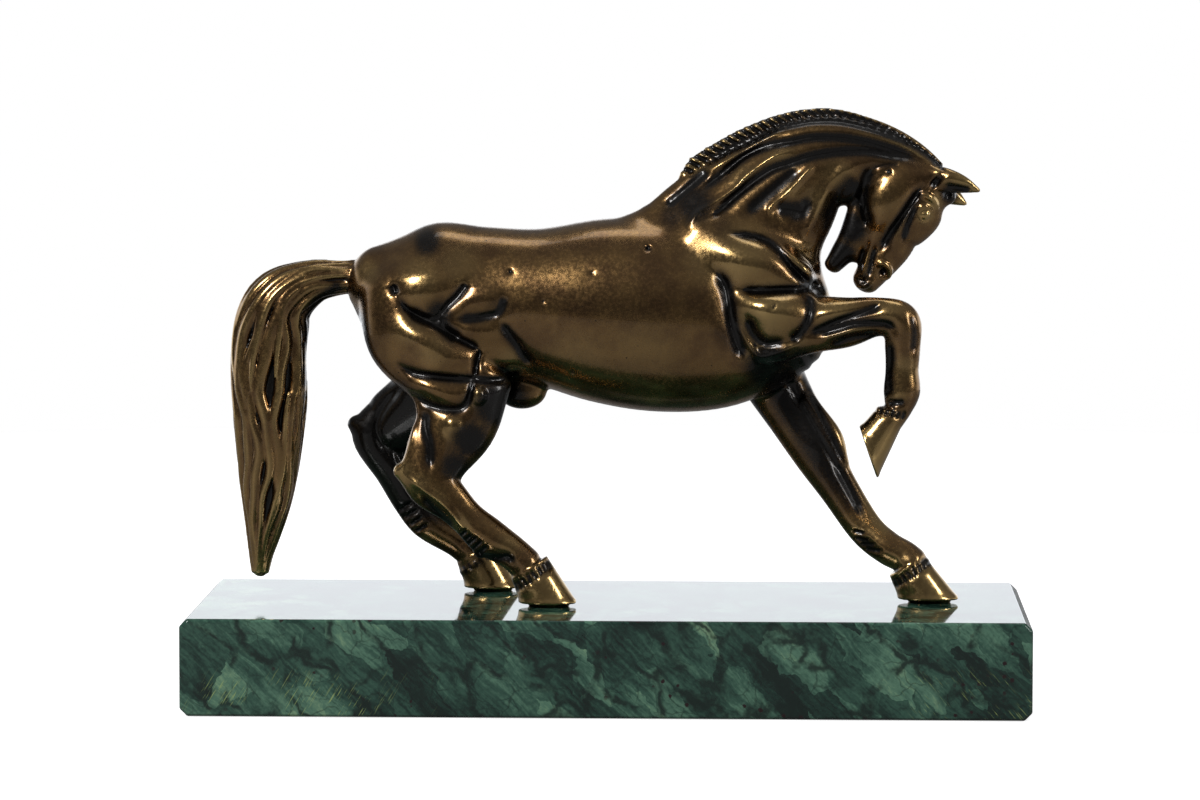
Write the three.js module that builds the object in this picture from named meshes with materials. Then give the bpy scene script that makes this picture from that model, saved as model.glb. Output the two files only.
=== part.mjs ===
// A cast bronze horse, pawing with one foreleg, on a polished stone plinth.
// Millimetres, +Z up. The horse faces +X and its right (near) side faces -Y.
// The part's origin is the middle of the plinth's underside.
import * as THREE from "three";

// Driving dimensions
const plinth = { length: 200, depth: 82, height: 23, bevel: 1.8, corner: 0.8 };
const horseOffset = 3; // the horse's middle plane, from the plinth's middle
const gridStep = 1.0; // spacing of the grid that the horse is modelled on
const horseTriangles = 9200; // what the horse is reduced to

// The horse is a set of soft forms that flow into each other. Most are strands, whose
// numbers are [x, y, z, depth, width]: a place, measured from the plinth's top and the
// horse's middle plane, the half size seen from the side, and the half size across.

const trunk = [
  [-57, 0, 77.3, 8.5, 8], // dock
  [-44, 0, 72.5, 18.6, 15], // croup
  [-30, 0, 71.5, 18.6, 15.5], // loin
  [-17, 0, 71, 18.8, 17], // flank
  [-2, 0, 70, 22.2, 18.5], // barrel
  [12, 0, 69, 23.4, 18.5], // girth
  [26, 0, 68.5, 22, 16.5], // elbow line
  [38, 0, 70, 17.5, 13.5], // chest
  [43, 0, 74.5, 12, 10], // breast
];

const neck = [
  [30, 0, 85, 19.5, 11],
  [39.6, 0, 96.2, 15.2, 8.5],
  [47, 0, 104.3, 12, 7],
  [57, 0, 106, 10.4, 6],
  [68, 0, 104, 8.6, 5.6],
  [74.5, 0, 100, 6.5, 5],
];
const crest = [
  [9, 0, 88, 6, 5],
  [18.5, 0, 97.6, 4.6, 3.4],
  [29, 0, 105.5, 4.4, 2.8],
  [40, 0, 110, 4.3, 2.8],
  [48.7, 0, 112, 4.2, 2.8],
  [57, 0, 111.6, 4.2, 2.8],
  [66, 0, 108.8, 4.2, 3],
  [75, 0, 103.6, 3.4, 3],
];
const mane = [
  [18.2, 0, 103, 1.5, 1.2],
  [23.8, 0, 107.6, 2.2, 1.6],
  [31, 0, 112, 2.3, 1.7],
  [40, 0, 115.4, 2.2, 1.7],
  [48.7, 0, 117, 2.2, 1.7],
  [56, 0, 116.7, 2.1, 1.7],
  [66, 0, 113.4, 1.9, 1.6],
  [74, 0, 108.6, 1.7, 1.4],
  [79, 0, 104.6, 1.1, 1.2],
];

const head = [
  [74, 0, 101.3, 7, 5.2], // poll
  [70, 0, 96.8, 9.5, 5.8], // brow
  [66.8, 0, 91.2, 8.3, 5.2], // cheek
  [66.1, 0, 86.2, 5.8, 4.2],
  [64.4, 0, 81, 4.4, 3.6], // nose
  [61.3, 0, 77.2, 3.4, 3.5], // muzzle
];
const lowerJaw = [
  [62.8, 0, 98, 4.6, 3.8],
  [61, 0, 92.6, 3.9, 3.6],
  [59.2, 0, 87.6, 3, 3.1],
  [56.2, 0, 83.8, 2.3, 2.7],
  [53.7, 0, 81.2, 2.1, 2.4],
];
const cheek = { at: [67.2, 3.4, 97], radii: [6.4, 3.6, 9], turn: -34 };
const eyeball = { at: [75.3, 5.2, 93.5], radii: [1.4, 1.6, 1.4], turn: 0 };
const browRidge = [
  [73.8, 4.6, 97.2, 1.2, 1.2],
  [76.6, 4.8, 96, 1.3, 1.2],
  [77.4, 4.2, 93.4, 1, 1],
];
const nostrilRim = [
  [64, 2.8, 80.9, 0.9, 0.9],
  [66.4, 2.9, 80.2, 0.9, 0.9],
  [65.8, 3, 78.2, 0.9, 0.9],
];
const nearEar = [
  [77.6, -3.4, 101.4, 3.4, 2],
  [81.4, -4.6, 101.2, 3, 1.9],
  [85, -5, 100.3, 1.8, 1.3],
  [88, -5, 99.3, 0.7, 0.7],
];
const farEar = [
  [77.4, 3.4, 100.6, 3.4, 2],
  [80.6, 4.6, 98.6, 3, 1.9],
  [83.4, 5, 96.8, 1.8, 1.3],
  [85.2, 5, 95.6, 0.7, 0.7],
];

const tail = [
  [-57, 0, 78.4, 4.4, 4],
  [-64.5, 0, 77.6, 3.9, 3.6],
  [-72.6, 0, 76.6, 5.2, 4.4],
  [-80.2, 0, 71, 8, 5.8],
  [-82.5, 0, 60.5, 8.9, 6.2],
  [-82.8, 0, 47, 9, 6.4],
  [-83.2, 0, 32, 7.6, 5.4],
  [-84, 0, 16, 4.6, 3.8],
  [-85.6, 0, 6.6, 2.3, 2.1],
];

// The right side, which is nearer: the planted hind leg and the lifted foreleg.
const haunch = [
  [-47, -7, 76, 12, 7.5],
  [-44.5, -8.5, 66, 14.5, 8.5],
  [-40, -10.5, 57.5, 11.4, 8],
];
const nearHindLeg = [
  [-35.4, -11.5, 53.5, 12, 6.4], // stifle
  [-36.6, -12.5, 44, 10, 5.2], // gaskin
  [-41, -13.6, 36, 8, 4.4],
  [-42.6, -14.2, 30, 6.6, 4.2], // hock
  [-37.4, -14.8, 24.6, 4.8, 3.6], // cannon
  [-33.6, -15, 20.8, 4.3, 3.4],
  [-29.4, -15, 17, 4.8, 3.9], // fetlock
  [-23.4, -15, 13, 4.2, 3.8], // pastern
  [-20, -15, 10, 4.2, 4.2], // coronet
];
const nearHock = [
  [-50.2, -14, 32.4, 1.9, 1.8],
  [-46, -14, 30.6, 3.4, 2.8],
];
const shoulderBlade = [
  [22, -6.5, 88, 6, 5],
  [33, -9, 80.5, 9, 6],
  [43, -9.5, 75, 8, 6],
];
const upperArm = [
  [30, -11, 72.4, 4.6, 4.6],
  [38, -13, 70, 7.4, 5.2],
  [46, -12.6, 69.5, 6.6, 5],
];
const nearForeleg = [
  [39, -11.5, 66, 6.4, 5.4], // elbow
  [47, -12.4, 67.6, 6.8, 5.2],
  [56, -13.6, 68.2, 6.1, 4.8], // forearm
  [63.5, -14.6, 69.6, 4.7, 4.2],
  [69.4, -15, 68.6, 4.6, 4.2], // knee
  [69.9, -15, 62.6, 4.3, 3.8],
  [69.8, -15, 57, 4, 3.4], // cannon
  [69.8, -15, 52, 4.7, 3.8], // fetlock
  [69.2, -15, 47.6, 3.8, 3.6], // pastern
];
const nearElbow = [
  [35.6, -12, 60.6, 1.9, 2.2],
  [41, -12.2, 62.8, 4.2, 4],
  [50, -12.6, 64.8, 2.8, 3.2],
];

// The left side, which is hidden from the front: the hind leg that is set back and
// the foreleg that is stretched forward.
const farHindLeg = [
  [-40, 11, 53.5, 10, 6.4], // stifle
  [-47, 13.5, 46.2, 9.2, 5.2], // gaskin
  [-53.8, 15.6, 41.4, 8, 4.4],
  [-58.2, 16.4, 37.8, 5.8, 4], // hock
  [-53.8, 16.8, 29.4, 4.7, 3.6],
  [-49.8, 17, 21.8, 4.2, 3.4], // cannon
  [-45.6, 17, 16.6, 4.2, 3.8], // fetlock
  [-38.4, 16.8, 12, 3.8, 3.6], // pastern
  [-34.6, 16.6, 9.4, 4.1, 4.1], // coronet
];
const farHock = [
  [-63.6, 16, 41.2, 1.8, 1.8],
  [-59.4, 16.2, 38.6, 3, 2.8],
];
const farForeleg = [
  [35, 9, 62, 8.6, 6],
  [39.2, 8.2, 53, 7.7, 5.4], // elbow
  [43.8, 6.6, 45.2, 6.8, 4.8],
  [50.1, 4.4, 34.8, 5.8, 4.4], // knee
  [55.1, 2.4, 26.9, 4.8, 3.9],
  [61.6, 0, 17.4, 4.3, 3.6], // cannon
  [66.8, -1.6, 13, 4.1, 4], // fetlock
  [70.6, -2.4, 11, 4, 3.8], // pastern
  [72.6, -3, 9.4, 4.1, 4.2], // coronet
];
const nearTuft = [
  [-28.6, -15, 15.6, 2.8, 2.8],
  [-31.2, -15, 12.4, 1.2, 1.6],
];
const farTuft = [
  [-45, 16.9, 17.8, 2.6, 2.4],
  [-47.8, 16.9, 15, 1.2, 1.6],
];
const sheath = { at: [-21.5, 0, 50.5], radii: [6, 4, 4.4], turn: 0 };

// A hoof: the middle of its sole, the angle of its toe below the horizontal, and
// its half length and half width at the sole.
const hooves = [
  { sole: [-14.3, -15, 0.8], toeDown: 0, length: 6.9, width: 5.4 },
  { sole: [-29.4, 16.6, 0.8], toeDown: 0, length: 6.7, width: 5.3 },
  { sole: [77, -3, 0.8], toeDown: 0, length: 7.3, width: 5.5 },
  { sole: [62.2, -15, 36.4], toeDown: 67, length: 6.7, width: 5 },
];
const hoofShape = {
  heel: 8, // height of the wall at the heel
  rise: 0.75, // how steeply the top of the wall climbs to the toe
  lean: 0.46, // how far the wall's middle moves back for its height
  taper: 0.3, // how much the half length shrinks for its height
};
const boss = { size: 0.72, depth: 2 }; // stub under a standing hoof, as a share of it

// Creases (positive depth) and ridges (negative depth) drawn on the side view. Each
// has a half width, a depth, and a path of [x, z] points.
const creasesOnBoth = [
  { width: 1.5, depth: 1, path: [[17.2, 101.6], [23.6, 104.3], [31.7, 109.4], [41, 113.6]] },
  {
    width: 1.7,
    depth: 1.1,
    path: [[20.8, 97.5], [26.3, 101.8], [33.4, 107.6], [40.1, 110.6], [48.7, 112.2],
      [56.5, 112.2], [64.6, 110.6], [71.8, 107.2], [77.8, 104.2]],
  },
  {
    width: 1.7,
    depth: 1.1,
    path: [[27.5, 93.7], [31.8, 99], [38, 104], [45.6, 107.2], [53.7, 108.6],
      [62, 108.6], [70.1, 107], [75, 105]],
  },
  { width: 2, depth: 0.7, path: [[37, 94], [42.5, 100.5], [49, 104.6]] },
  { width: 1.3, depth: 1, path: [[66, 105.6], [62.2, 104.4], [60.6, 101], [61, 95.7], [62.6, 90]] },
  { width: 1.3, depth: 1.2, path: [[75, 100.3], [73, 97], [70.4, 93.7], [68.3, 90.2], [65.6, 86]] },
  { width: 0.9, depth: 0.8, path: [[75.2, 97.8], [73.4, 94], [72, 91.2], [70.8, 89.4]] },
  { width: 1, depth: 1, path: [[57.4, 80.8], [59.4, 82.4], [61.6, 84.6]] },
  { width: 1, depth: 1, path: [[65.2, 79.7], [65.8, 79.2]] },
  { width: 1.1, depth: 0.9, path: [[-46.9, 70.3], [-41.4, 68.2], [-35.9, 64.9], [-31.4, 61.8]] },
  { width: 1.3, depth: 0.9, path: [[-41.6, 68.4], [-39.8, 72], [-35.9, 74.9], [-34.5, 77.8]] },
  { width: 1.5, depth: 0.9, path: [[-37.4, 69.9], [-32.4, 69.2], [-27.4, 69.9]] },
  { width: 1.4, depth: 0.9, path: [[-26.4, 73.5], [-25, 68.3], [-22.8, 63.5], [-19, 59]] },
];
const creasesNear = [
  { width: 1.4, depth: 1.2, path: [[27.6, 89.8], [33.5, 88.4], [38, 87.4], [41.1, 84.9], [44.5, 80.6], [48.3, 77]] },
  { width: 1.4, depth: 1, path: [[30.2, 77.4], [37.1, 77], [45.4, 77.3], [49, 76]] },
  { width: 1.5, depth: 1.2, path: [[25.2, 80.6], [28, 77], [28.6, 73], [30.2, 67.5], [32, 63], [33.6, 59]] },
  { width: 1.2, depth: 0.8, path: [[47.3, 75.6], [48.3, 68.5], [46.4, 64.4]] },
  { width: 1.1, depth: 0.9, path: [[51.4, 69.5], [57.3, 69.7], [62.1, 71.4], [65.4, 73]] },
  { width: 1.1, depth: 0.7, path: [[46.7, 65], [50.9, 66.7], [57.3, 67.6], [64, 68]] },
  { width: 1.2, depth: 0.8, path: [[-31.4, 61.8], [-31.9, 57.7], [-32.4, 54.4], [-33.6, 50]] },
  { width: 1.2, depth: 0.8, path: [[-50.8, 56.2], [-45, 55.6], [-39.3, 54.6], [-33.3, 53.8], [-27, 54.2]] },
  { width: 1.2, depth: 0.9, path: [[-42.4, 46.5], [-43.2, 40], [-41.6, 34.4]] },
];
const creasesFar = [
  { width: 1.4, depth: 1.1, path: [[27.6, 89.8], [33.5, 88.4], [38, 87.4], [41.1, 84.9], [44.5, 80.6], [47, 76]] },
  { width: 1.5, depth: 1.1, path: [[27, 78], [29, 72], [30, 65], [31.4, 57]] },
  { width: 1.2, depth: 0.8, path: [[-32, 61.8], [-36, 57.7], [-41, 54.4], [-47, 50]] },
];

const near = -1;
const far = 1;

// Smooth minimum of two distances: it rounds the join over the given width.
function blendMin(a, b, width) {
  if (width <= 0) return Math.min(a, b);
  const share = Math.max(width - Math.abs(a - b), 0) / width;
  return Math.min(a, b) - (share * share * width) / 4;
}

// Distance to an ellipsoid from an offset that is already in its own axes.
function ellipsoidDistance(offset, radii) {
  let inner = 0;
  let slope = 0;
  for (let i = 0; i < 3; i++) {
    const scaled = offset[i] / radii[i];
    inner += scaled * scaled;
    slope += (scaled / radii[i]) ** 2;
  }
  if (inner < 1e-9) return -Math.min(...radii);
  const size = Math.sqrt(inner);
  return (size * (size - 1)) / Math.sqrt(slope);
}

// A box of grid samples that holds a distance for each point, positive outside.
class Field {
  constructor(low, high, step) {
    this.low = low;
    this.step = step;
    this.size = low.map((v, i) => Math.ceil((high[i] - v) / step) + 1);
    this.values = new Float32Array(this.size[0] * this.size[1] * this.size[2]);
    this.values.fill(Infinity);
  }
  index(i, j, k) {
    return (k * this.size[1] + j) * this.size[0] + i;
  }
  // Calls visit(point, index) for each sample in a box.
  each(low, high, visit) {
    const first = low.map((v, a) =>
      Math.max(0, Math.floor((v - this.low[a]) / this.step)),
    );
    const last = high.map((v, a) =>
      Math.min(this.size[a] - 1, Math.ceil((v - this.low[a]) / this.step)),
    );
    const point = [0, 0, 0];
    for (let k = first[2]; k <= last[2]; k++) {
      point[2] = this.low[2] + k * this.step;
      for (let j = first[1]; j <= last[1]; j++) {
        point[1] = this.low[1] + j * this.step;
        for (let i = first[0]; i <= last[0]; i++) {
          point[0] = this.low[0] + i * this.step;
          visit(point, this.index(i, j, k));
        }
      }
    }
  }
  // Joins a form, given as a map from sample to distance.
  join(distances, blend) {
    for (const [index, distance] of distances)
      this.values[index] = blendMin(this.values[index], distance, blend);
  }
}

// The points and half sizes along a strand, with extra ones for a smooth curve.
function samplesAlong(stations, perSpan = 5) {
  const curveOf = (pick) =>
    new THREE.CatmullRomCurve3(
      stations.map((s) => new THREE.Vector3(...pick(s))),
      false,
      "catmullrom",
      0.5,
    );
  const middle = curveOf((s) => [s[0], s[1], s[2]]);
  const sizes = curveOf((s) => [s[3], s[4], 0]);
  const count = (stations.length - 1) * perSpan;
  return Array.from({ length: count + 1 }, (_, i) => ({
    at: middle.getPoint(i / count),
    depth: sizes.getPoint(i / count).x,
    width: sizes.getPoint(i / count).y,
  }));
}

// Joins a strand: an elliptical section swept through its stations.
function addStrand(field, stations, blend, perSpan = 5) {
  const samples = samplesAlong(stations, perSpan);
  const distances = new Map();
  const sideways = new THREE.Vector3(0, 1, 0);
  for (let i = 0; i + 1 < samples.length; i++) {
    const a = samples[i];
    const b = samples[i + 1];
    const along = b.at.clone().sub(a.at);
    const length = along.length();
    along.divideScalar(length);
    const across = sideways
      .clone()
      .addScaledVector(along, -along.dot(sideways))
      .normalize();
    const normal = across.clone().cross(along);
    const reach = Math.max(a.depth, b.depth, a.width, b.width) + blend + 2;
    const low = ["x", "y", "z"].map((c) => Math.min(a.at[c], b.at[c]) - reach);
    const high = ["x", "y", "z"].map((c) => Math.max(a.at[c], b.at[c]) + reach);
    field.each(low, high, (p, index) => {
      const dx = p[0] - a.at.x;
      const dy = p[1] - a.at.y;
      const dz = p[2] - a.at.z;
      const run = dx * along.x + dy * along.y + dz * along.z;
      const t = Math.min(Math.max(run / length, 0), 1);
      const depth = a.depth + (b.depth - a.depth) * t;
      const width = a.width + (b.width - a.width) * t;
      const offset = [
        dx * normal.x + dy * normal.y + dz * normal.z,
        dx * across.x + dy * across.y + dz * across.z,
        run - t * length,
      ];
      const cap = Math.min(depth, width) * 0.8;
      const distance = ellipsoidDistance(offset, [depth, width, cap]);
      const known = distances.get(index);
      if (known === undefined || distance < known) distances.set(index, distance);
    });
  }
  field.join(distances, blend);
}

// Joins an ellipsoid, turned in the side view by an angle in degrees.
function addBall(field, { at, radii, turn }, blend) {
  const distances = new Map();
  const c = Math.cos(THREE.MathUtils.degToRad(turn));
  const s = Math.sin(THREE.MathUtils.degToRad(turn));
  const reach = Math.max(...radii) + blend + 2;
  field.each(
    at.map((v) => v - reach),
    at.map((v) => v + reach),
    (p, index) => {
      const dx = p[0] - at[0];
      const dz = p[2] - at[2];
      const offset = [dx * c + dz * s, p[1] - at[1], dz * c - dx * s];
      distances.set(index, ellipsoidDistance(offset, radii));
    },
  );
  field.join(distances, blend);
}

// Joins a hoof: a wall that leans back from a flat sole and narrows upwards, with a
// top that climbs from the heel to the toe.
function addHoof(field, hoof) {
  const distances = new Map();
  const c = Math.cos(THREE.MathUtils.degToRad(hoof.toeDown));
  const s = Math.sin(THREE.MathUtils.degToRad(hoof.toeDown));
  const { heel, rise, lean, taper } = hoofShape;
  const standing = hoof.toeDown === 0;
  const reach = 2.6 * hoof.length;
  field.each(
    hoof.sole.map((v) => v - reach),
    hoof.sole.map((v) => v + reach),
    (p, index) => {
      const dx = p[0] - hoof.sole[0];
      const dy = p[1] - hoof.sole[1];
      const dz = p[2] - hoof.sole[2];
      const forward = dx * c - dz * s;
      const up = dx * s + dz * c;
      const height = Math.max(up, 0);
      const long = Math.max(hoof.length - taper * height, 2);
      const wide = Math.max(hoof.width - 0.12 * height, 2);
      const size = Math.hypot((forward + lean * height) / long, dy / wide);
      const wall = (size - 1) * wide * 0.85;
      const top = (up - heel - rise * (forward + hoof.length)) / Math.hypot(1, rise);
      let distance = Math.max(wall, -up, top);
      if (standing) {
        const stubLong = hoof.length * boss.size;
        const stubWide = hoof.width * boss.size;
        const stub = (Math.hypot(forward / stubLong, dy / stubWide) - 1) * stubWide;
        distance = Math.min(distance, Math.max(stub, -up - boss.depth, up - 1));
      }
      distances.set(index, distance);
    },
  );
  field.join(distances, 1);
}

// Presses the creases into the surfaces that face the side that they are drawn on.
function carve(field, creases, side) {
  const [nx, ny, nz] = field.size;
  const relief = new Float32Array(nx * nz);
  for (const crease of creases) {
    const curve = new THREE.SplineCurve(crease.path.map((p) => new THREE.Vector2(...p)));
    const points = curve.getPoints(crease.path.length * 10);
    const mark = new Float32Array(nx * nz);
    points.forEach((p, n) => {
      const t = n / (points.length - 1);
      const level = Math.min(1, 0.3 + 5 * Math.min(t, 1 - t));
      const reach = Math.ceil((crease.width * 2.2) / field.step);
      const ci = Math.round((p.x - field.low[0]) / field.step);
      const ck = Math.round((p.y - field.low[2]) / field.step);
      for (let k = ck - reach; k <= ck + reach; k++)
        for (let i = ci - reach; i <= ci + reach; i++) {
          const x = field.low[0] + i * field.step;
          const z = field.low[2] + k * field.step;
          const away = Math.hypot(x - p.x, z - p.y) / crease.width;
          const at = k * nx + i;
          mark[at] = Math.max(mark[at], level * Math.exp(-away * away));
        }
    });
    mark.forEach((level, n) => (relief[n] += level * crease.depth));
  }
  const before = field.values.slice();
  for (let k = 0; k < nz; k++)
    for (let j = 1; j < ny - 1; j++) {
      if ((field.low[1] + j * field.step) * side < 0) continue;
      for (let i = 0; i < nx; i++) {
        const depth = relief[k * nx + i];
        const at = field.index(i, j, k);
        if (depth === 0 || Math.abs(before[at]) > 5) continue;
        const slope = (before[at + nx] - before[at - nx]) / (2 * field.step);
        field.values[at] += depth * Math.min(Math.max(slope * side * 1.5, 0), 1);
      }
    }
}

const cubeCorners = [0, 1, 2, 3, 4, 5, 6, 7].map((n) => [n & 1, (n >> 1) & 1, n >> 2]);
const cubeEdges = [0, 1, 2, 3, 4, 5, 6, 7].flatMap((m) =>
  [1, 2, 4].filter((bit) => !(m & bit)).map((bit) => [m, m | bit]),
);

// How many separate groups the given corners of a cube make.
function groupsOf(corners) {
  const left = new Set(corners);
  let groups = 0;
  while (left.size) {
    groups++;
    const open = [left.values().next().value];
    while (open.length) {
      const corner = open.pop();
      if (!left.delete(corner)) continue;
      for (const bit of [1, 2, 4]) if (left.has(corner ^ bit)) open.push(corner ^ bit);
    }
  }
  return groups;
}

// Fills the samples where two parts of the surface would touch along one edge.
function closeGaps(field) {
  const [nx, ny, nz] = field.size;
  const f = field.values;
  const offsets = cubeCorners.map(([i, j, k]) => field.index(i, j, k));
  const unclear = Array.from({ length: 256 }, (_, mask) => {
    const inside = [0, 1, 2, 3, 4, 5, 6, 7].filter((n) => mask & (1 << n));
    const outside = [0, 1, 2, 3, 4, 5, 6, 7].filter((n) => !(mask & (1 << n)));
    return groupsOf(inside) > 1 || groupsOf(outside) > 1;
  });
  for (let filled = 1; filled > 0; ) {
    filled = 0;
    for (let k = 0; k < nz - 1; k++)
      for (let j = 0; j < ny - 1; j++)
        for (let i = 0; i < nx - 1; i++) {
          const base = field.index(i, j, k);
          let mask = 0;
          for (let n = 0; n < 8; n++) if (f[base + offsets[n]] < 0) mask |= 1 << n;
          if (!unclear[mask]) continue;
          const open = offsets.map((o) => base + o).filter((at) => f[at] >= 0);
          const closest = open.reduce((a, b) => (f[a] < f[b] ? a : b));
          f[closest] = -0.05 * field.step;
          filled++;
        }
  }
}

// Turns the field's zero surface into a closed mesh: one vertex for each cell that
// the surface crosses, and one quad for each grid edge that it crosses.
function surfaceOf(field) {
  const [nx, ny, nz] = field.size;
  const f = field.values;
  const vertexOf = new Map();
  const positions = [];
  const offsets = cubeCorners.map(([i, j, k]) => field.index(i, j, k));
  for (let k = 0; k < nz - 1; k++)
    for (let j = 0; j < ny - 1; j++)
      for (let i = 0; i < nx - 1; i++) {
        const base = field.index(i, j, k);
        let inside = 0;
        for (let n = 0; n < 8; n++) if (f[base + offsets[n]] < 0) inside++;
        if (inside === 0 || inside === 8) continue;
        const sum = [0, 0, 0];
        let count = 0;
        for (const [m, n] of cubeEdges) {
          const a = f[base + offsets[m]];
          const b = f[base + offsets[n]];
          if (a < 0 === b < 0) continue;
          const t = a / (a - b);
          for (let c = 0; c < 3; c++)
            sum[c] += cubeCorners[m][c] + (cubeCorners[n][c] - cubeCorners[m][c]) * t;
          count++;
        }
        vertexOf.set(base, positions.length / 3);
        positions.push(
          field.low[0] + (i + sum[0] / count) * field.step,
          field.low[1] + (j + sum[1] / count) * field.step,
          field.low[2] + (k + sum[2] / count) * field.step,
        );
      }
  const triangles = [];
  const stride = [1, nx, nx * ny];
  for (let k = 1; k < nz - 1; k++)
    for (let j = 1; j < ny - 1; j++)
      for (let i = 1; i < nx - 1; i++) {
        const base = field.index(i, j, k);
        for (let axis = 0; axis < 3; axis++) {
          const a = f[base] < 0;
          if (a === f[base + stride[axis]] < 0) continue;
          const u = stride[(axis + 1) % 3];
          const v = stride[(axis + 2) % 3];
          const quad = [base - u - v, base - v, base, base - u].map((c) => vertexOf.get(c));
          if (!a) quad.reverse();
          triangles.push([quad[0], quad[1], quad[2]], [quad[0], quad[2], quad[3]]);
        }
      }
  return { positions, triangles };
}

// Collapses edges, cheapest first, until few enough triangles are left. The cost
// is how far the new vertex lies from the planes that met at the old ones.
function simplify({ positions, triangles }, limit) {
  const at = (v) => [positions[3 * v], positions[3 * v + 1], positions[3 * v + 2]];
  const crossOf = (a, b, c) => {
    const [p, q, r] = [b, c].map((x) => x.map((e, i) => e - a[i]));
    return [p[1] * q[2] - p[2] * q[1], p[2] * q[0] - p[0] * q[2], p[0] * q[1] - p[1] * q[0]];
  };
  const count = positions.length / 3;
  const quadrics = Array.from({ length: count }, () => new Float64Array(10));
  const facesAt = Array.from({ length: count }, () => new Set());
  const version = new Uint32Array(count);
  triangles.forEach((t, index) => {
    const n = crossOf(...t.map(at));
    const size = Math.hypot(...n);
    t.forEach((v) => facesAt[v].add(index));
    if (size < 1e-12) return;
    const [a, b, c] = n.map((e) => e / size);
    const d = -(a * at(t[0])[0] + b * at(t[0])[1] + c * at(t[0])[2]);
    const plane = [a * a, a * b, a * c, a * d, b * b, b * c, b * d, c * c, c * d, d * d];
    for (const v of t) plane.forEach((e, i) => (quadrics[v][i] += e * size));
  });
  const costAt = (q, [x, y, z]) =>
    q[0] * x * x + 2 * q[1] * x * y + 2 * q[2] * x * z + 2 * q[3] * x + q[4] * y * y +
    2 * q[5] * y * z + 2 * q[6] * y + q[7] * z * z + 2 * q[8] * z + q[9];

  // The best place for a merged vertex, and its cost.
  function planFor(a, b) {
    const q = quadrics[a].map((e, i) => e + quadrics[b][i]);
    const ends = [at(a), at(b)];
    const choices = [...ends, ends[0].map((e, i) => (e + ends[1][i]) / 2)];
    const m = new THREE.Matrix3(q[0], q[1], q[2], q[1], q[4], q[5], q[2], q[5], q[7]);
    const span = Math.hypot(...ends[0].map((e, i) => e - ends[1][i]));
    if (Math.abs(m.determinant()) > 1e-6) {
      const best = new THREE.Vector3(-q[3], -q[6], -q[8]).applyMatrix3(m.invert());
      const away = Math.hypot(...best.toArray().map((e, i) => e - choices[2][i]));
      if (away < span) choices.push(best.toArray());
    }
    const costs = choices.map((p) => costAt(q, p));
    const least = costs.indexOf(Math.min(...costs));
    return { a, b, place: choices[least], cost: costs[least] + 1e-5 * span * span };
  }

  // A binary heap of plans, cheapest at the top.
  const heap = [];
  const swap = (i, j) => ([heap[i], heap[j]] = [heap[j], heap[i]]);
  function push(plan) {
    plan.stamp = version[plan.a] + version[plan.b];
    heap.push(plan);
    let i = heap.length - 1;
    while (i > 0 && heap[(i - 1) >> 1].cost > heap[i].cost) {
      swap(i, (i - 1) >> 1);
      i = (i - 1) >> 1;
    }
  }
  function pop() {
    const first = heap[0];
    const last = heap.pop();
    if (!heap.length) return first;
    heap[0] = last;
    for (let i = 0; ; ) {
      let least = i;
      for (const child of [2 * i + 1, 2 * i + 2])
        if (child < heap.length && heap[child].cost < heap[least].cost) least = child;
      if (least === i) return first;
      swap(i, least);
      i = least;
    }
  }
  const neighbours = (v) => {
    const found = new Set();
    for (const f of facesAt[v]) for (const w of triangles[f]) if (w !== v) found.add(w);
    return found;
  };
  for (let v = 0; v < count; v++)
    for (const w of neighbours(v)) if (v < w) push(planFor(v, w));

  // True if moving v to a new place would turn one of its faces over.
  const wouldFlip = (v, other, place) => {
    for (const f of facesAt[v]) {
      if (triangles[f].includes(other)) continue;
      const old = triangles[f].map(at);
      const moved = triangles[f].map((w) => (w === v ? place : at(w)));
      const n = crossOf(...old);
      const m = crossOf(...moved);
      const dot = n[0] * m[0] + n[1] * m[1] + n[2] * m[2];
      if (dot < 0.3 * Math.hypot(...n) * Math.hypot(...m)) return true;
    }
    return false;
  };
  let left = triangles.length;
  while (left > limit && heap.length) {
    const { a, b, place, stamp } = pop();
    if (!facesAt[a].size || !facesAt[b].size) continue;
    if (stamp !== version[a] + version[b]) continue;
    const around = neighbours(b);
    const shared = [...neighbours(a)].filter((v) => around.has(v));
    if (!around.has(a) || shared.length !== 2) continue;
    if (wouldFlip(a, b, place) || wouldFlip(b, a, place)) continue;
    for (const f of [...facesAt[b]]) {
      if (triangles[f].includes(a)) {
        triangles[f].forEach((v) => facesAt[v].delete(f));
        left--;
      } else {
        triangles[f] = triangles[f].map((v) => (v === b ? a : v));
        facesAt[a].add(f);
      }
    }
    facesAt[b].clear();
    place.forEach((e, i) => (positions[3 * a + i] = e));
    quadrics[b].forEach((e, i) => (quadrics[a][i] += e));
    version[a]++;
    version[b]++;
    for (const v of neighbours(a)) push(planFor(a, v));
  }
  const kept = new Set();
  facesAt.forEach((faces) => faces.forEach((f) => kept.add(f)));
  return { positions, triangles: [...kept].map((f) => triangles[f]) };
}

const mirrored = (stations) => stations.map(([x, y, z, ...rest]) => [x, -y, z, ...rest]);

// The tail's hair: locks that run down it, side by side, each with its own wave.
function addTailLocks(field) {
  const lockCount = 13;
  for (let n = 0; n < lockCount; n++) {
    const angle = (n / lockCount) * 2 * Math.PI;
    const lock = tail.map(([x, y, z, depth, width], i) => {
      const turn = angle + 0.2 * Math.sin(1.9 * i + 2.3 * n);
      const out = Math.cos(turn) * depth * 0.78;
      const slant = i < 3 ? [0.1, 1] : i === 3 ? [-0.7, 0.7] : [-1, 0];
      return [
        x + out * slant[0],
        y + Math.sin(turn) * width * 0.78,
        z + out * slant[1],
        0.4 + depth * 0.18,
        0.4 + width * 0.22,
      ];
    });
    addStrand(field, lock, 0.3);
  }
}

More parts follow.
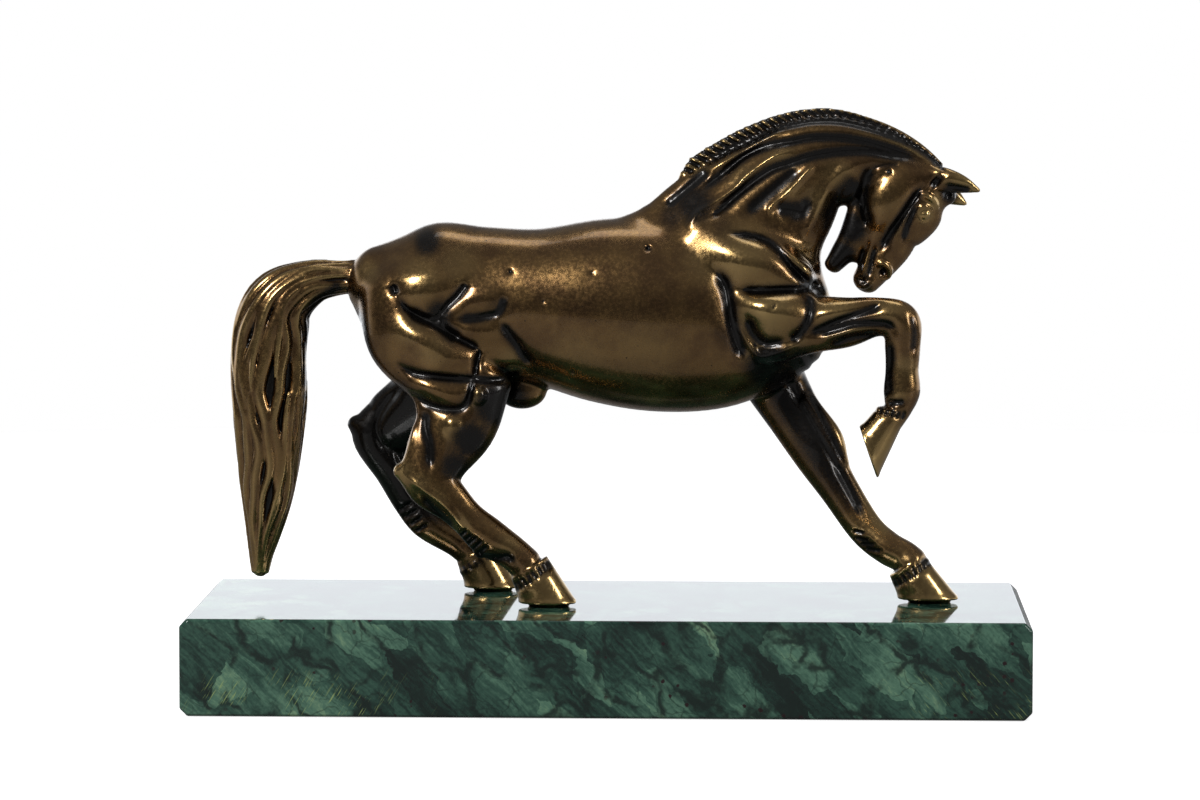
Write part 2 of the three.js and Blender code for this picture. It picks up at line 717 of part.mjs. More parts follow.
// The clipped mane: tufts that lean back along the crest, parted by slits.
function maneSlits() {
  const slitCount = 24;
  const line = new THREE.CatmullRomCurve3(mane.map((s) => new THREE.Vector3(s[0], 0, s[2])));
  return Array.from({ length: slitCount }, (_, n) => {
    const at = line.getPointAt((n + 0.5) / slitCount);
    const fall = THREE.MathUtils.degToRad(15 + (32 * n) / slitCount);
    const dx = 2.2 * Math.cos(fall);
    const dz = 2.2 * Math.sin(fall);
    const path = [
      [at.x - dx, at.z + dz],
      [at.x, at.z],
      [at.x + dx, at.z - dz],
    ];
    return { width: 0.8, depth: 0.9, path };
  });
}

function buildHorse() {
  const field = new Field([-98, -25, -3.5], [94, 27, 123], gridStep);
  const addBoth = (add, form, blend) => {
    add(field, form, blend);
    add(field, add === addBall ? { ...form, at: mirrored([form.at])[0] } : mirrored(form), blend);
  };
  addStrand(field, trunk, 0);
  addStrand(field, neck, 7);
  addStrand(field, crest, 4);
  addBoth(addStrand, haunch, 4);
  addBoth(addStrand, shoulderBlade, 3);
  addStrand(field, nearHindLeg, 2.5);
  addStrand(field, nearHock, 1.5);
  addStrand(field, farHindLeg, 2.5);
  addStrand(field, farHock, 1.5);
  addStrand(field, farForeleg, 3);
  addStrand(field, nearForeleg, 2);
  addStrand(field, upperArm, 1.5);
  addStrand(field, nearElbow, 1.5);
  addStrand(field, nearTuft, 1);
  addStrand(field, farTuft, 1);
  addBall(field, sheath, 1.5);
  addStrand(field, head, 2);
  addStrand(field, lowerJaw, 0.8);
  addBoth(addBall, cheek, 1);
  addBoth(addStrand, browRidge, 0.8);
  addBoth(addBall, eyeball, 0.3);
  addBoth(addStrand, nostrilRim, 0.6);
  addStrand(field, nearEar, 0.8);
  addStrand(field, farEar, 0.8);
  addStrand(field, tail.map(([x, y, z, ...size]) => [x, y, z, ...size.map((v) => 0.82 * v)]), 2);
  addStrand(field, mane, 0.8);
  for (const hoof of hooves) addHoof(field, hoof);
  carve(field, [...creasesOnBoth, ...creasesNear, ...maneSlits()], near);
  carve(field, [...creasesOnBoth, ...creasesFar, ...maneSlits()], far);
  addTailLocks(field);
  field.each([-98, -27, -4], [94, 27, 2], (p, index) => {
    field.values[index] = Math.max(field.values[index], -p[2]); // flat on the plinth
  });
  closeGaps(field);
  return simplify(surfaceOf(field), horseTriangles);
}

// The horse's geometry, in the part's frame.
function horseGeometry() {
  const { positions, triangles } = buildHorse();
  const flat = positions.map((v, i) => (i % 3 === 2 && v < 0.02 ? 0 : v));
  const geometry = new THREE.BufferGeometry();
  geometry.setAttribute("position", new THREE.Float32BufferAttribute(flat, 3));
  geometry.setIndex(triangles.flat());
  geometry.translate(0, horseOffset, plinth.height);
  geometry.computeVertexNormals();
  return geometry;
}

// The plinth: a slab with cut-off corners and a bevel round its top and underside.
function plinthGeometry() {
  const { length, depth, height, bevel, corner } = plinth;
  const x = length / 2 - bevel;
  const y = depth / 2 - bevel;
  const outline = new THREE.Shape();
  outline.moveTo(-x + corner, -y);
  outline.lineTo(x - corner, -y);
  outline.lineTo(x, -y + corner);
  outline.lineTo(x, y - corner);
  outline.lineTo(x - corner, y);
  outline.lineTo(-x + corner, y);
  outline.lineTo(-x, y - corner);
  outline.lineTo(-x, -y + corner);
  outline.closePath();
  const geometry = new THREE.ExtrudeGeometry(outline, {
    depth: height - 2 * bevel,
    bevelThickness: bevel,
    bevelSize: bevel,
    bevelSegments: 1,
  });
  return geometry.translate(0, 0, bevel);
}

const bronze = new THREE.MeshStandardMaterial({
  color: 0x6b4a23,
  metalness: 1,
  roughness: 0.32,
});
const serpentine = new THREE.MeshStandardMaterial({
  color: 0x2f5a45,
  metalness: 0,
  roughness: 0.15,
});

const sculpture = new THREE.Group();
const horseMesh = new THREE.Mesh(horseGeometry(), bronze);
horseMesh.name = "horse";
const plinthMesh = new THREE.Mesh(plinthGeometry(), serpentine);
plinthMesh.name = "plinth";
sculpture.add(horseMesh, plinthMesh);

export default sculpture;
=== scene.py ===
import itertools
import math
import bmesh
import bpy
import numpy as np
from mathutils import Matrix, Vector


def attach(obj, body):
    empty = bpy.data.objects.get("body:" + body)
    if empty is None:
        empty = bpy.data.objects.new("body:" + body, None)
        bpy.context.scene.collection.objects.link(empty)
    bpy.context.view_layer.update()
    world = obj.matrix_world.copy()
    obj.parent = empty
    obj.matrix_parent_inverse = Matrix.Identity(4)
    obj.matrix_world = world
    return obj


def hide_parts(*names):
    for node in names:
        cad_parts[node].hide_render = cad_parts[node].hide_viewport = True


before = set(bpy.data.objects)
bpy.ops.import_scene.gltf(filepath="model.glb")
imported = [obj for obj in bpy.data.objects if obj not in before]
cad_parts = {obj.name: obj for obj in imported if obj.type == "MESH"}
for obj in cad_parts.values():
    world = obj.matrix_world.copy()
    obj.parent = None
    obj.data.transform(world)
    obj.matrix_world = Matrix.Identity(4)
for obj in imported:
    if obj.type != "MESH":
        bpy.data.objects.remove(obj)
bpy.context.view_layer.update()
print("frame loaded")

# The horse is drawn in millimetres, from the plinth's top and the horse's own middle
# plane, then moved into the part's frame, which is in metres.
horse = {
    "offset": (0.0, 3.0, 23.0),  # from the part's origin, mm
    "step": 0.4,  # grid spacing of the fine forms, mm
    "triangles": 190000,
    "low": (-94.0, -22.4, -2.4),
    "high": (91.2, 24.0, 120.0),
    "topMost": 119.5,  # nothing stands higher than this, mm
    "seed": 11,
}
random = np.random.default_rng(horse["seed"])

# Strands: [x, y, z, half depth seen from the side, half width]
body = {
    "trunk": [
        [-57, 0, 77.3, 8.5, 8], [-44, 0, 72.5, 18.6, 15], [-30, 0, 71.5, 18.6, 15.5],
        [-17, 0, 71, 18.8, 17], [-2, 0, 70, 22.2, 18.5], [12, 0, 69, 23.4, 18.5],
        [26, 0, 68.5, 22, 16.5], [38, 0, 70, 17.5, 13.5], [43, 0, 74.5, 12, 10],
    ],
    "neck": [
        [30, 0, 85, 19.5, 11], [39.6, 0, 96.2, 15.2, 8.5], [47, 0, 104.3, 12, 7],
        [57, 0, 106, 10.4, 6], [68, 0, 104, 8.6, 5.6], [74.5, 0, 100, 6.5, 5],
    ],
    "crest": [
        [9, 0, 88, 6, 5], [18.5, 0, 97.6, 4.6, 3.4], [29, 0, 105.5, 4.4, 2.8],
        [40, 0, 110, 4.3, 2.8], [48.7, 0, 112, 4.2, 2.8], [57, 0, 111.6, 4.2, 2.8],
        [66, 0, 108.8, 4.2, 3], [75, 0, 103.6, 3.4, 3],
    ],
    "haunch": [[-47, -7, 76, 12, 7.5], [-44.5, -8.5, 66, 14.5, 8.5], [-40, -10.5, 57.5, 11.4, 8]],
    "shoulder": [[22, -6.5, 88, 6, 5], [33, -9, 80.5, 9, 6], [43, -9.5, 75, 8, 6]],
    "upperArm": [[30, -11, 72.4, 4.6, 4.6], [38, -13, 70, 7.4, 5.2], [46, -12.6, 69.5, 6.6, 5]],
    "elbow": [[35.6, -12, 60.6, 1.9, 2.2], [41, -12.2, 62.8, 4.2, 4], [50, -12.6, 64.8, 2.8, 3.2]],
}
legs = {
    "nearHind": [
        [-35.4, -11.5, 53.5, 12, 6.4], [-36.6, -12.5, 44, 10, 5.2], [-41, -13.6, 36, 8, 4.4],
        [-42.6, -14.2, 30, 6.6, 4.2], [-37.4, -14.8, 24.6, 4.8, 3.6], [-33.6, -15, 20.8, 4.3, 3.4],
        [-29.4, -15, 17, 4.8, 3.9], [-23.4, -15, 13, 4.2, 3.8], [-20, -15, 10, 4.2, 4.2],
    ],
    "nearHock": [[-50.2, -14, 32.4, 1.9, 1.8], [-46, -14, 30.6, 3.4, 2.8]],
    "nearFore": [
        [39, -11.5, 66, 6.4, 5.4], [47, -12.4, 67.6, 6.8, 5.2], [56, -13.6, 68.2, 6.1, 4.8],
        [63.5, -14.6, 69.6, 4.7, 4.2], [69.4, -15, 68.6, 4.6, 4.2], [69.9, -15, 62.6, 4.3, 3.8],
        [69.8, -15, 57, 4, 3.4], [69.8, -15, 52, 4.4, 3.8], [69, -15, 48, 3.3, 3.6],
        [67.8, -15, 45.4, 2.8, 3.4],
    ],
    "farHind": [
        [-40, 11, 53.5, 10, 6.4], [-47, 13.5, 46.2, 9.2, 5.2], [-53.8, 15.6, 41.4, 8, 4.4],
        [-58.2, 16.4, 37.8, 5.8, 4], [-53.8, 16.8, 29.4, 4.7, 3.6], [-49.8, 17, 21.8, 4.2, 3.4],
        [-45.6, 17, 16.6, 4.2, 3.8], [-38.4, 16.8, 12, 3.8, 3.6], [-34.6, 16.6, 9.4, 4.1, 4.1],
    ],
    "farKnee": [[46.6, 4.4, 47.2, 3.2, 2.6], [51.6, 2.6, 38.6, 4.6, 3.4], [54.6, 2, 33, 3, 2.6]],
    "farHock": [[-63.6, 16, 41.2, 1.8, 1.8], [-59.4, 16.2, 38.6, 3, 2.8]],
    "farFore": [
        [35, 9, 62, 8.6, 6], [39.2, 8.2, 53, 7.7, 5.4], [43.8, 6.6, 45.2, 6.8, 4.8],
        [50.1, 4.4, 34.8, 5.8, 4.4], [55.1, 2.4, 26.9, 4.8, 3.9], [61.6, 0, 17.4, 4.3, 3.6],
        [66.8, -1.6, 13, 4.1, 4], [70.6, -2.4, 11, 4, 3.8], [72.6, -3, 9.4, 4.1, 4.2],
    ],
    "nearTuft": [[-28.6, -15, 15.6, 2.8, 2.8], [-31.2, -15, 12.4, 1.2, 1.6]],
    "farTuft": [[-45, 16.9, 17.8, 2.6, 2.4], [-47.8, 16.9, 15, 1.2, 1.6]],
}
face = {
    "head": [
        [74.6, 0, 100.9, 7.4, 5.3], [70.7, 0, 96.4, 9.9, 5.9], [67.3, 0, 90.8, 8.7, 5.3],
        [66.4, 0, 85.9, 6.1, 4.3], [64, 0, 81.2, 4.4, 3.7], [61.4, 0, 77.4, 3.4, 3.4],
    ],
    "poll": [[75, 0, 100.4, 5.4, 4.8], [79.2, 0, 98.8, 3.8, 3.4], [81.3, 0, 97.5, 1.9, 2.2]],
    "lowerJaw": [
        [62.4, 0, 98, 4.6, 3.6], [60.6, 0, 92.6, 4.3, 3.3], [58.4, 0, 87.6, 3.8, 3],
        [55.6, 0, 83.9, 2.9, 2.7], [53.5, 0, 81.2, 2.2, 2.4],
    ],
    "web": [[62, 0, 92, 4, 2.6], [60.2, 0, 87, 3.8, 2.4], [58.8, 0, 83.6, 2.7, 2.2]],
    "cheek": ((67.4, 3.3, 97.4), (6.4, 3.8, 9.2), -34),  # place, radii, turn
    # Ridges laid on the skin: [x, how far out, z, radius]
    "ridges": [
        (0.4, [[74.4, 0, 98.4, 0.7], [76, 0.1, 97.9, 0.9], [77.5, 0, 96.6, 0.8], [78.2, -0.2, 94.8, 0.5]]),  # brow
        (0.15, [[73.4, 0, 93.9, 0.35], [74.2, 0.2, 95.3, 0.45], [75.6, 0.2, 95.5, 0.5], [76.7, 0.1, 94.5, 0.45],
                [77, 0, 93.2, 0.3]]),  # upper lid
        (0.15, [[73.4, 0, 93.4, 0.3], [74, 0.1, 92.0, 0.4], [75.2, 0.1, 91.6, 0.4], [76.4, 0, 92.2, 0.3]]),
        (0.3, [[63.8, 0, 81.6, 0.5], [65.4, 0.2, 81.7, 0.8], [66.9, 0.2, 80.3, 0.85], [66.5, 0.1, 78.5, 0.8],
               [65, 0, 77.9, 0.5]]),  # nostril
        (0.3, [[62.8, 0, 86.6, 0.4], [62, 0.1, 84, 0.6], [61.3, 0.1, 81, 0.7], [60.8, 0, 78.6, 0.5]]),
        (0.3, [[59.4, 0, 76.2, 0.5], [61, 0.1, 76.3, 0.8], [62.8, 0, 77.2, 0.6]]),  # lips
    ],
    "eye": (75.2, 93.5, 1.35),
    "nearEar": [[77, -3.2, 102.2, 3.2, 2.2], [80.6, -4.4, 101.7, 2.9, 2], [84.4, -5, 100.7, 2.1, 1.4],
                [88, -5, 99.4, 0.6, 0.6]],
    "farEar": [[77.4, 3.2, 100.4, 3.4, 2], [80.4, 4.4, 98.6, 2.8, 1.9], [83.2, 4.8, 97, 1.7, 1.3],
               [85.2, 4.8, 95.8, 0.6, 0.6]],
}
hair = {
    "mane": [
        [17.2, 0, 102.2, 1.1, 1.3], [20, 0, 105.6, 1.7, 1.7], [25, 0, 108.9, 1.7, 1.9],
        [32, 0, 112.6, 1.8, 1.9], [40, 0, 115.9, 1.6, 1.8], [48, 0, 117.5, 1.55, 1.7],
        [56, 0, 117.2, 1.4, 1.6], [66, 0, 113.9, 1.3, 1.5], [74, 0, 109.2, 1.15, 1.4], [79, 0, 105.2, 0.9, 1.2],
    ],
    "tufts": 33,
    "fall": (20, 52),  # degrees that the mane's tufts lean, at the withers and at the poll
    "tail": [
        [-57, 0, 78.4, 4.2, 4], [-64.5, 0, 77.8, 4.1, 3.8], [-72.6, 0, 76.4, 5.6, 4.8],
        [-80.2, 0, 71, 8.4, 6], [-82.7, 0, 60.5, 9.2, 6.4], [-82.7, 0, 47, 9.1, 6.6],
        [-83, 0, 33, 7.7, 5.6], [-83.6, 0, 21, 5.6, 4.4], [-84.8, 0, 11, 3.2, 2.7], [-85.1, 0, 6.2, 2.2, 2],
    ],
    "locks": 14,
    "lockSize": (1.62, 1.5),  # half width and half height of a lock, mm
    "wave": (1.25, 33.0),  # how far a lock wanders and how often, mm
    "wisps": 22,
}
# The standing hooves lean less than the lifted one.
hooves = {
    "nearHind": {"sole": (-14.3, -15, 0.8), "toeDown": 0, "size": (6.9, 5.4), "lean": 0.52, "taper": 0.14, "top": (7.4, 0.62)},
    "farHind": {"sole": (-29.4, 16.6, 0.8), "toeDown": 0, "size": (6.7, 5.3), "lean": 0.5, "taper": 0.14, "top": (7.2, 0.6)},
    "farFore": {"sole": (77, -3, 0.8), "toeDown": 0, "size": (7.3, 5.5), "lean": 0.62, "taper": 0.2, "top": (7.2, 0.6)},
    "nearFore": {"sole": (61.9, -15, 37.1), "toeDown": 71, "size": (6.5, 5), "lean": 0.81, "taper": 0.24, "top": (8.4, 1.5)},
}
# Bands of curled hair over the hooves: (place, radii, turn in degrees)
bands = [
    ((-18.2, -15, 7.4), (4.9, 4.7, 1.5), 36), ((-33.6, 16.6, 7.0), (4.7, 4.7, 1.4), 36),
    ((72.6, -3, 7.4), (5.1, 4.8, 1.5), 34), ((67.4, -15, 46.9), (3.9, 4.3, 1.3), -12),
]

# Strokes cut into a side: (half width, depth, [[x, z], ...]). A negative depth raises.
strokes = {
    "both": [
        (1.2, 0.9, [[13.0, 95.0], [16.6, 98.0], [20.5, 101.4], [23.6, 104.0]]),
        (0.8, 1.0, [[20.5, 103.6], [25.0, 106.6], [28.4, 108.8], [32.2, 110.4], [36.4, 112.2], [39.9, 114.0], [44.4, 115.0],
                    [48.9, 115.7], [54.9, 115.6], [60.9, 114.3], [66.3, 112.6], [70.2, 110.9], [75.3, 107.7]]),
        (0.7, -0.6, [[23.8, 104.0], [28.0, 106.4], [32.2, 108.7], [35.2, 110.7], [37.9, 112.2], [40.5, 113.4]]),
        (1.0, 1.35, [[21.0, 98.6], [23.5, 100.5], [28.0, 104.1], [31.6, 107.1], [35.2, 108.9], [38.8, 110.1], [43.0, 110.9],
                     [48.3, 111.9], [54.9, 111.9], [60.9, 111.0], [66.0, 109.6], [70.7, 108.1], [74.5, 106.2]]),
        (0.75, -0.75, [[18.8, 91.2], [21.2, 94.2], [26.2, 97.2], [30.1, 99.9], [32.2, 102.3], [35.5, 105.0], [39.1, 107.4],
                       [43.0, 108.9]]),
        (1.15, 1.4, [[23.4, 92.6], [26.3, 94.6], [29.8, 97.9], [34.0, 101.2], [38.5, 104.2], [43.0, 105.8], [47.4, 107.3],
                     [51.9, 108.2], [56.4, 108.7], [61.8, 108.7], [66.3, 107.9], [70.8, 107.1], [73.7, 106.0]]),
        (1.5, 0.8, [[32.2, 93.4], [35.8, 96.7], [38.8, 99.4], [42.4, 102.4], [45.0, 104.4]]),
        (0.75, -0.8, [[38.2, 93.7], [38.5, 95.5], [41.8, 98.2], [44.5, 100.9], [46.9, 103.6], [48.9, 105.4]]),
        (1.7, 1.0, [[39.8, 94.6], [41.8, 94.9], [44.5, 94.6], [46.2, 94.4], [47.4, 98.2]]),
        (1.6, -0.9, [[46.4, 88.6], [47.8, 91.3], [49.6, 95.2], [52.4, 100.2], [55.2, 103.2], [57.9, 105.2]]),
        (1.8, 0.6, [[51.2, 91.0], [53.6, 96.0], [56.2, 99.4], [59.2, 102.4]]),
        (1.3, 1.6, [[62.6, 105.0], [61.0, 101.8], [60.4, 98.0], [60.9, 94.0], [62.2, 90.6]]),
        (0.6, 0.45, [[62.1, 104.2], [64.5, 105.2], [67.5, 105.5], [69.2, 105.4]]),
        (0.95, 1.5, [[74.6, 100.2], [72.3, 96.8], [70.2, 93.7], [68.1, 90.6], [66.2, 87.6], [65.0, 85.0]]),
        (0.55, 0.9, [[73.2, 95.6], [71.9, 92.8], [70.9, 90.0], [70.2, 87.2]]),
        (0.5, -0.45, [[73.9, 97.8], [71.7, 94.3], [69.9, 91.3], [68.3, 88.4]]),
        (0.5, 0.8, [[63.8, 85.6], [62.9, 83.4], [62.4, 80.8], [61.8, 78.4]]),
        (0.5, 0.7, [[60.6, 85.0], [60.0, 82.6], [59.8, 80.2]]),
        (0.45, 0.7, [[58.6, 78.0], [60.4, 77.6], [62.4, 76.0]]),
        (0.8, 1.3, [[64.9, 80.2], [65.8, 79.3]]),
        (0.45, 0.9, [[66.2, 103.9], [66.9, 103.7]]),
        (1.5, 1.5, [[77.2, 102.0], [78.6, 100.8]]),
        (0.7, 1.4, [[80.2, 100.3], [83.2, 99.9], [86.2, 99.3]]),
        (1.2, 0.8, [[79.6, 98.4], [81.6, 98.0]]),
    ],
    "near": [
        (0.9, 1.5, [[-51.8, 76.9], [-50.9, 74.6]]),
        (0.7, 1.1, [[-50.6, 73.7], [-48.1, 71.0], [-44.7, 69.0], [-41.3, 67.2], [-37.2, 64.8], [-32.8, 62.6], [-31.1, 61.3]]),
        (1.5, 1.3, [[-48.4, 71.0], [-44.7, 69.2], [-41.0, 68.6], [-38.0, 65.6], [-35.4, 63.9]]),
        (1.0, 1.3, [[-41.3, 68.4], [-38.6, 71.9], [-36.5, 73.9], [-34.8, 76.0], [-34.3, 77.3]]),
        (1.0, 1.0, [[-36.5, 68.9], [-32.7, 69.0], [-29.0, 69.5], [-26.6, 70.3], [-25.4, 72.3], [-25.6, 74.3]]),
        (0.5, 1.1, [[-30.8, 61.3], [-31.5, 58.7], [-32.0, 55.0]]),
        (1.1, 1.1, [[-25.9, 67.9], [-23.9, 65.2], [-21.8, 62.4], [-20.5, 60.0], [-18.8, 58.0]]),
        (0.9, 1.4, [[-50.1, 57.6], [-46.4, 55.9], [-41.3, 55.2], [-36.5, 54.7], [-32.1, 54.5], [-27.6, 54.0], [-23.5, 54.6],
                    [-21.5, 55.6]]),
        (0.9, 1.2, [[-46.7, 50.4], [-42.6, 48.1], [-38.5, 47.3], [-35.1, 47.6], [-33.4, 49.8], [-32.7, 52.9], [-32.0, 54.6]]),
        (1.1, 1.1, [[-43.7, 47.0], [-43.7, 42.5], [-42.7, 38.4], [-42.7, 33.0]]),
        (0.6, -0.45, [[-47.0, 45.0], [-47.2, 40.0], [-48.6, 35.6], [-50.0, 32.6]]),
        (0.7, 1.2, [[28.3, 89.4], [32.7, 88.8], [36.3, 88.0], [39.1, 86.4], [41.4, 83.9], [43.8, 81.1], [46.6, 78.3], [49.4, 76.3]]),
        (1.2, 1.1, [[42.8, 82.1], [46.6, 78.3], [49.4, 76.3], [51.4, 73.8]]),
        (1.0, 1.5, [[31.4, 76.0], [35.1, 75.8], [39.1, 75.9], [43.1, 76.1], [46.6, 76.2], [49.4, 76.8]]),
        (1.5, 1.7, [[25.2, 80.6], [27.4, 77.2], [28.5, 73.2], [29.0, 69.2], [29.8, 65.7], [31.0, 62.1], [32.4, 59.4]]),
        (1.0, 1.3, [[47.0, 75.3], [48.0, 71.7], [47.2, 68.5], [45.1, 65.5], [43.1, 63.6]]),
        (1.1, 1.0, [[32.8, 69.6], [34.6, 65.6], [37.6, 63.2], [42.0, 63.6]]),
        (0.6, -0.6, [[31.4, 66.5], [33.6, 62.4], [36.0, 60.0], [39.9, 60.8], [44.7, 63.0]]),
        (0.9, 1.2, [[47.6, 65.4], [50.6, 67.0], [54.2, 68.6], [58.1, 70.0], [62.1, 71.4], [64.8, 72.6]]),
        (0.8, 1.1, [[49.4, 65.4], [53.4, 66.6], [58.1, 68.0], [62.5, 68.4], [66.0, 68.2], [68.0, 66.9]]),
        (0.9, 0.8, [[52.6, 62.8], [56.6, 64.6], [60.5, 65.4], [64.9, 65.6]]),
        (0.5, -0.4, [[50.6, 64.6], [54.6, 65.6], [59.0, 66.9], [63.0, 67.1]]),
        (0.9, 0.8, [[66.6, 64.0], [66.9, 59.6], [66.4, 55.6], [67.2, 51.0]]),
        (0.7, 0.5, [[71.8, 70.4], [72.6, 66.0], [72.2, 61.0]]),
        (0.7, -0.5, [[-47.6, 30.6], [-43.4, 27.6], [-38.9, 24.2], [-34.6, 18.7]]),
        (1.0, 0.8, [[-44.6, 26.4], [-40.8, 22.4], [-37.4, 18.8]]),
        (0.35, 1.0, [[-36.3, 16.2], [-33.8, 18.4]]),
        (0.35, 1.0, [[-35.4, 15.2], [-32.6, 17.4]]),
        (0.35, 1.0, [[-34.6, 14.1], [-31.4, 16.9]]),
        (0.35, 1.0, [[-33.1, 13.2], [-30.2, 16.1]]),
        (0.35, 1.0, [[-31.6, 12.5], [-29.0, 14.7]]),
        (0.9, 1.0, [[-32.4, 12.0], [-29.5, 12.0], [-26.9, 11.8], [-24.0, 12.0], [-22.6, 10.6]]),
        (0.45, 0.6, [[66.6, 76.0], [68.4, 76.2]]),
        (0.35, 0.9, [[63.9, 55.2], [66.6, 57.1]]),
        (0.35, 0.9, [[63.8, 53.6], [66.9, 55.7]]),
        (0.35, 0.9, [[64.0, 52.0], [66.8, 54.0]]),
        (0.35, 0.9, [[64.6, 50.4], [66.8, 52.2]]),
        (0.6, 0.9, [[66.4, 49.2], [70.4, 49.6]]),
        (0.35, 0.9, [[58.6, 17.0], [61.4, 16.6]]),
        (0.35, 0.9, [[59.2, 15.3], [62.6, 14.9]]),
        (0.35, 0.9, [[60.3, 13.9], [63.8, 14.0]]),
        (0.35, 0.9, [[61.4, 12.8], [65.3, 12.6]]),
        (0.35, 0.7, [[-40.3, 91.9], [-39.4, 91.6]]),
        (0.45, 0.7, [[-23.9, 80.3], [-23.5, 79.7]]),
        (0.4, 0.6, [[8.6, 85.9], [9.8, 85.5]]),
        (0.4, 0.5, [[9.1, 86.3], [9.3, 85.1]]),
        (0.4, 0.5, [[-4.2, 80.2], [-3.9, 79.8]]),
        (0.3, 0.45, [[-9.2, 56.4], [-8.4, 55.8]]),
        (0.3, 0.45, [[-16.0, 73.5], [-15.2, 73.0]]),
        (0.3, 0.45, [[38.9, 71.6], [39.6, 73.0]]),
    ],
    "far": [
        (0.9, 1.3, [[-52, 74.7], [-45.6, 70.5], [-39.9, 68.3], [-34.6, 64.5], [-31.2, 61.6]]),
        (0.9, 1.1, [[-34.3, 77.5], [-36.7, 73.2], [-40.3, 70.0]]),
        (1.1, 1.1, [[-26.0, 68.7], [-22.2, 62.5], [-18.4, 57.3]]),
        (0.9, 1.2, [[-32, 61.8], [-36, 57.7], [-41, 54.4], [-47, 50]]),
        (0.8, 1.2, [[27.6, 89.8], [33.5, 88.4], [38, 87.4], [41.1, 84.9], [44.5, 80.6], [47, 76]]),
        (1.2, 1.3, [[27, 78], [29, 72], [30, 65], [31.4, 57]]),
        (1.0, 1.0, [[33, 76.5], [39, 75], [44.5, 74.5]]),
        (0.8, 0.9, [[37.4, 57], [41, 48.5], [46.4, 38.6]]),
        (0.35, 1.0, [[-52.4, 19.8], [-49.2, 21.6]]),
        (0.35, 1.0, [[-51.2, 18.0], [-47.8, 19.9]]),
        (0.35, 1.0, [[-50.0, 16.2], [-46.6, 18.2]]),
        (0.35, 1.0, [[-48.6, 14.6], [-45.2, 16.4]]),
    ],
}
strokes["inner"] = [  # on the far legs' sides that face the near ones
    (1.2, 1.1, [[42, 54], [47, 45], [53, 35], [58, 26], [61, 20]]),
    (0.9, 0.8, [[47.5, 51], [52, 42], [56.5, 32.6]]),
    (1.0, 1.0, [[-52, 50], [-56.4, 44], [-57.6, 39], [-54.6, 33]]),
    (0.8, 0.8, [[-53.6, 35], [-50, 28], [-46.4, 20.6]]),
    (0.35, 1.0, [[-52.4, 19.8], [-49.2, 21.6]]),
    (0.35, 1.0, [[-51.2, 18.0], [-47.8, 19.9]]),
    (0.35, 1.0, [[-50.0, 16.2], [-46.6, 18.2]]),
    (0.35, 1.0, [[-48.6, 14.6], [-45.2, 16.4]]),
]
# Swells of muscle between the strokes: (x, z, half length, half height, turn in degrees, height)
swells = {
    "near": [
        (-43.0, 77.4, 8.5, 4.6, 12, 1.3), (-44.0, 63.6, 7.8, 3.4, -26, 1.4), (-30.6, 73.6, 4.6, 3.2, 5, 0.9),
        (-31.0, 65.8, 5.2, 2.9, -28, 1.1), (-27.4, 58.8, 5.8, 2.8, -6, 1.1), (-41.2, 51.6, 5.6, 2.2, -12, 1.1),
        (33.4, 83.4, 8.4, 4.2, -8, 1.4), (38.4, 71.6, 7.6, 3.5, -16, 1.5), (45.2, 83.0, 2.8, 4.6, 38, 1.0),
        (53.6, 71.2, 5.0, 1.8, 8, 0.6), (41.0, 62.4, 5.0, 1.2, 14, 0.5),
    ],
    "far": [
        (-43.0, 77.4, 8.5, 4.6, 12, 1.1), (-44.0, 63.6, 7.8, 3.4, -26, 1.1), (-29.0, 66.0, 6.0, 4.0, -20, 0.9),
        (33.4, 83.4, 8.4, 4.2, -8, 1.2), (38.4, 69.6, 6.6, 4.5, -30, 1.2), (38.4, 57.0, 4.0, 5.0, 20, 0.7),
    ],
}
# Small bulges: (place, radii, turn in degrees, join)
bulges = [
    ((-21.5, 0, 50.5), (6, 4, 4.4), 0, 1.5),  # sheath
    ((-31.4, -16.4, 50.8), (2.4, 2.3, 3.0), 0, 0.4),  # kneecap
    ((-37.1, -16.4, 43.3), (2.8, 2.3, 3.4), 0, 0.5),
    ((-31.8, 15.6, 51.4), (2.4, 2.4, 2.9), 0, 0.6),
]


def smoothPath(stations, perSpan):
    p = np.array(stations, float)
    p = np.vstack([2 * p[0] - p[1], p, 2 * p[-1] - p[-2]])
    t = np.linspace(0, 1, perSpan, endpoint=False)[:, None]
    spans = []
    for a, b, c, d in zip(p, p[1:], p[2:], p[3:]):
        spans.append(0.5 * (2 * b + (c - a) * t + (2 * a - 5 * b + 4 * c - d) * t**2 + (3 * b - a - 3 * c + d) * t**3))
    return np.vstack(spans + [p[-2:-1]])


def makeGrid(low, high, step):
    size = [int(round((h - l) / step)) + 1 for l, h in zip(low, high)]
    return {"low": np.array(low, float), "step": step, "values": np.full(size, 20.0, np.float32)}


def window(grid, low, high):  # the samples in a box, with their coordinates
    size = grid["values"].shape
    first = np.floor((np.array(low) - grid["low"]) / grid["step"]).astype(int)
    last = np.ceil((np.array(high) - grid["low"]) / grid["step"]).astype(int) + 1
    cut = tuple(slice(max(a, 0), max(min(b, n), 0)) for a, b, n in zip(first, last, size))
    x, y, z = [(grid["low"][i] + grid["step"] * np.arange(c.start, c.stop)).astype(np.float32) for i, c in enumerate(cut)]
    return cut, x[:, None, None], y[None, :, None], z[None, None, :]


def roundDistance(offsets, radii):
    inner = sum((o / r) ** 2 for o, r in zip(offsets, radii)) + 1e-6
    slope = sum((o / (r * r)) ** 2 for o, r in zip(offsets, radii)) + 1e-6 / np.minimum(radii[0], radii[1]) ** 2
    size = np.sqrt(inner)
    return size * (size - 1) / np.sqrt(slope)


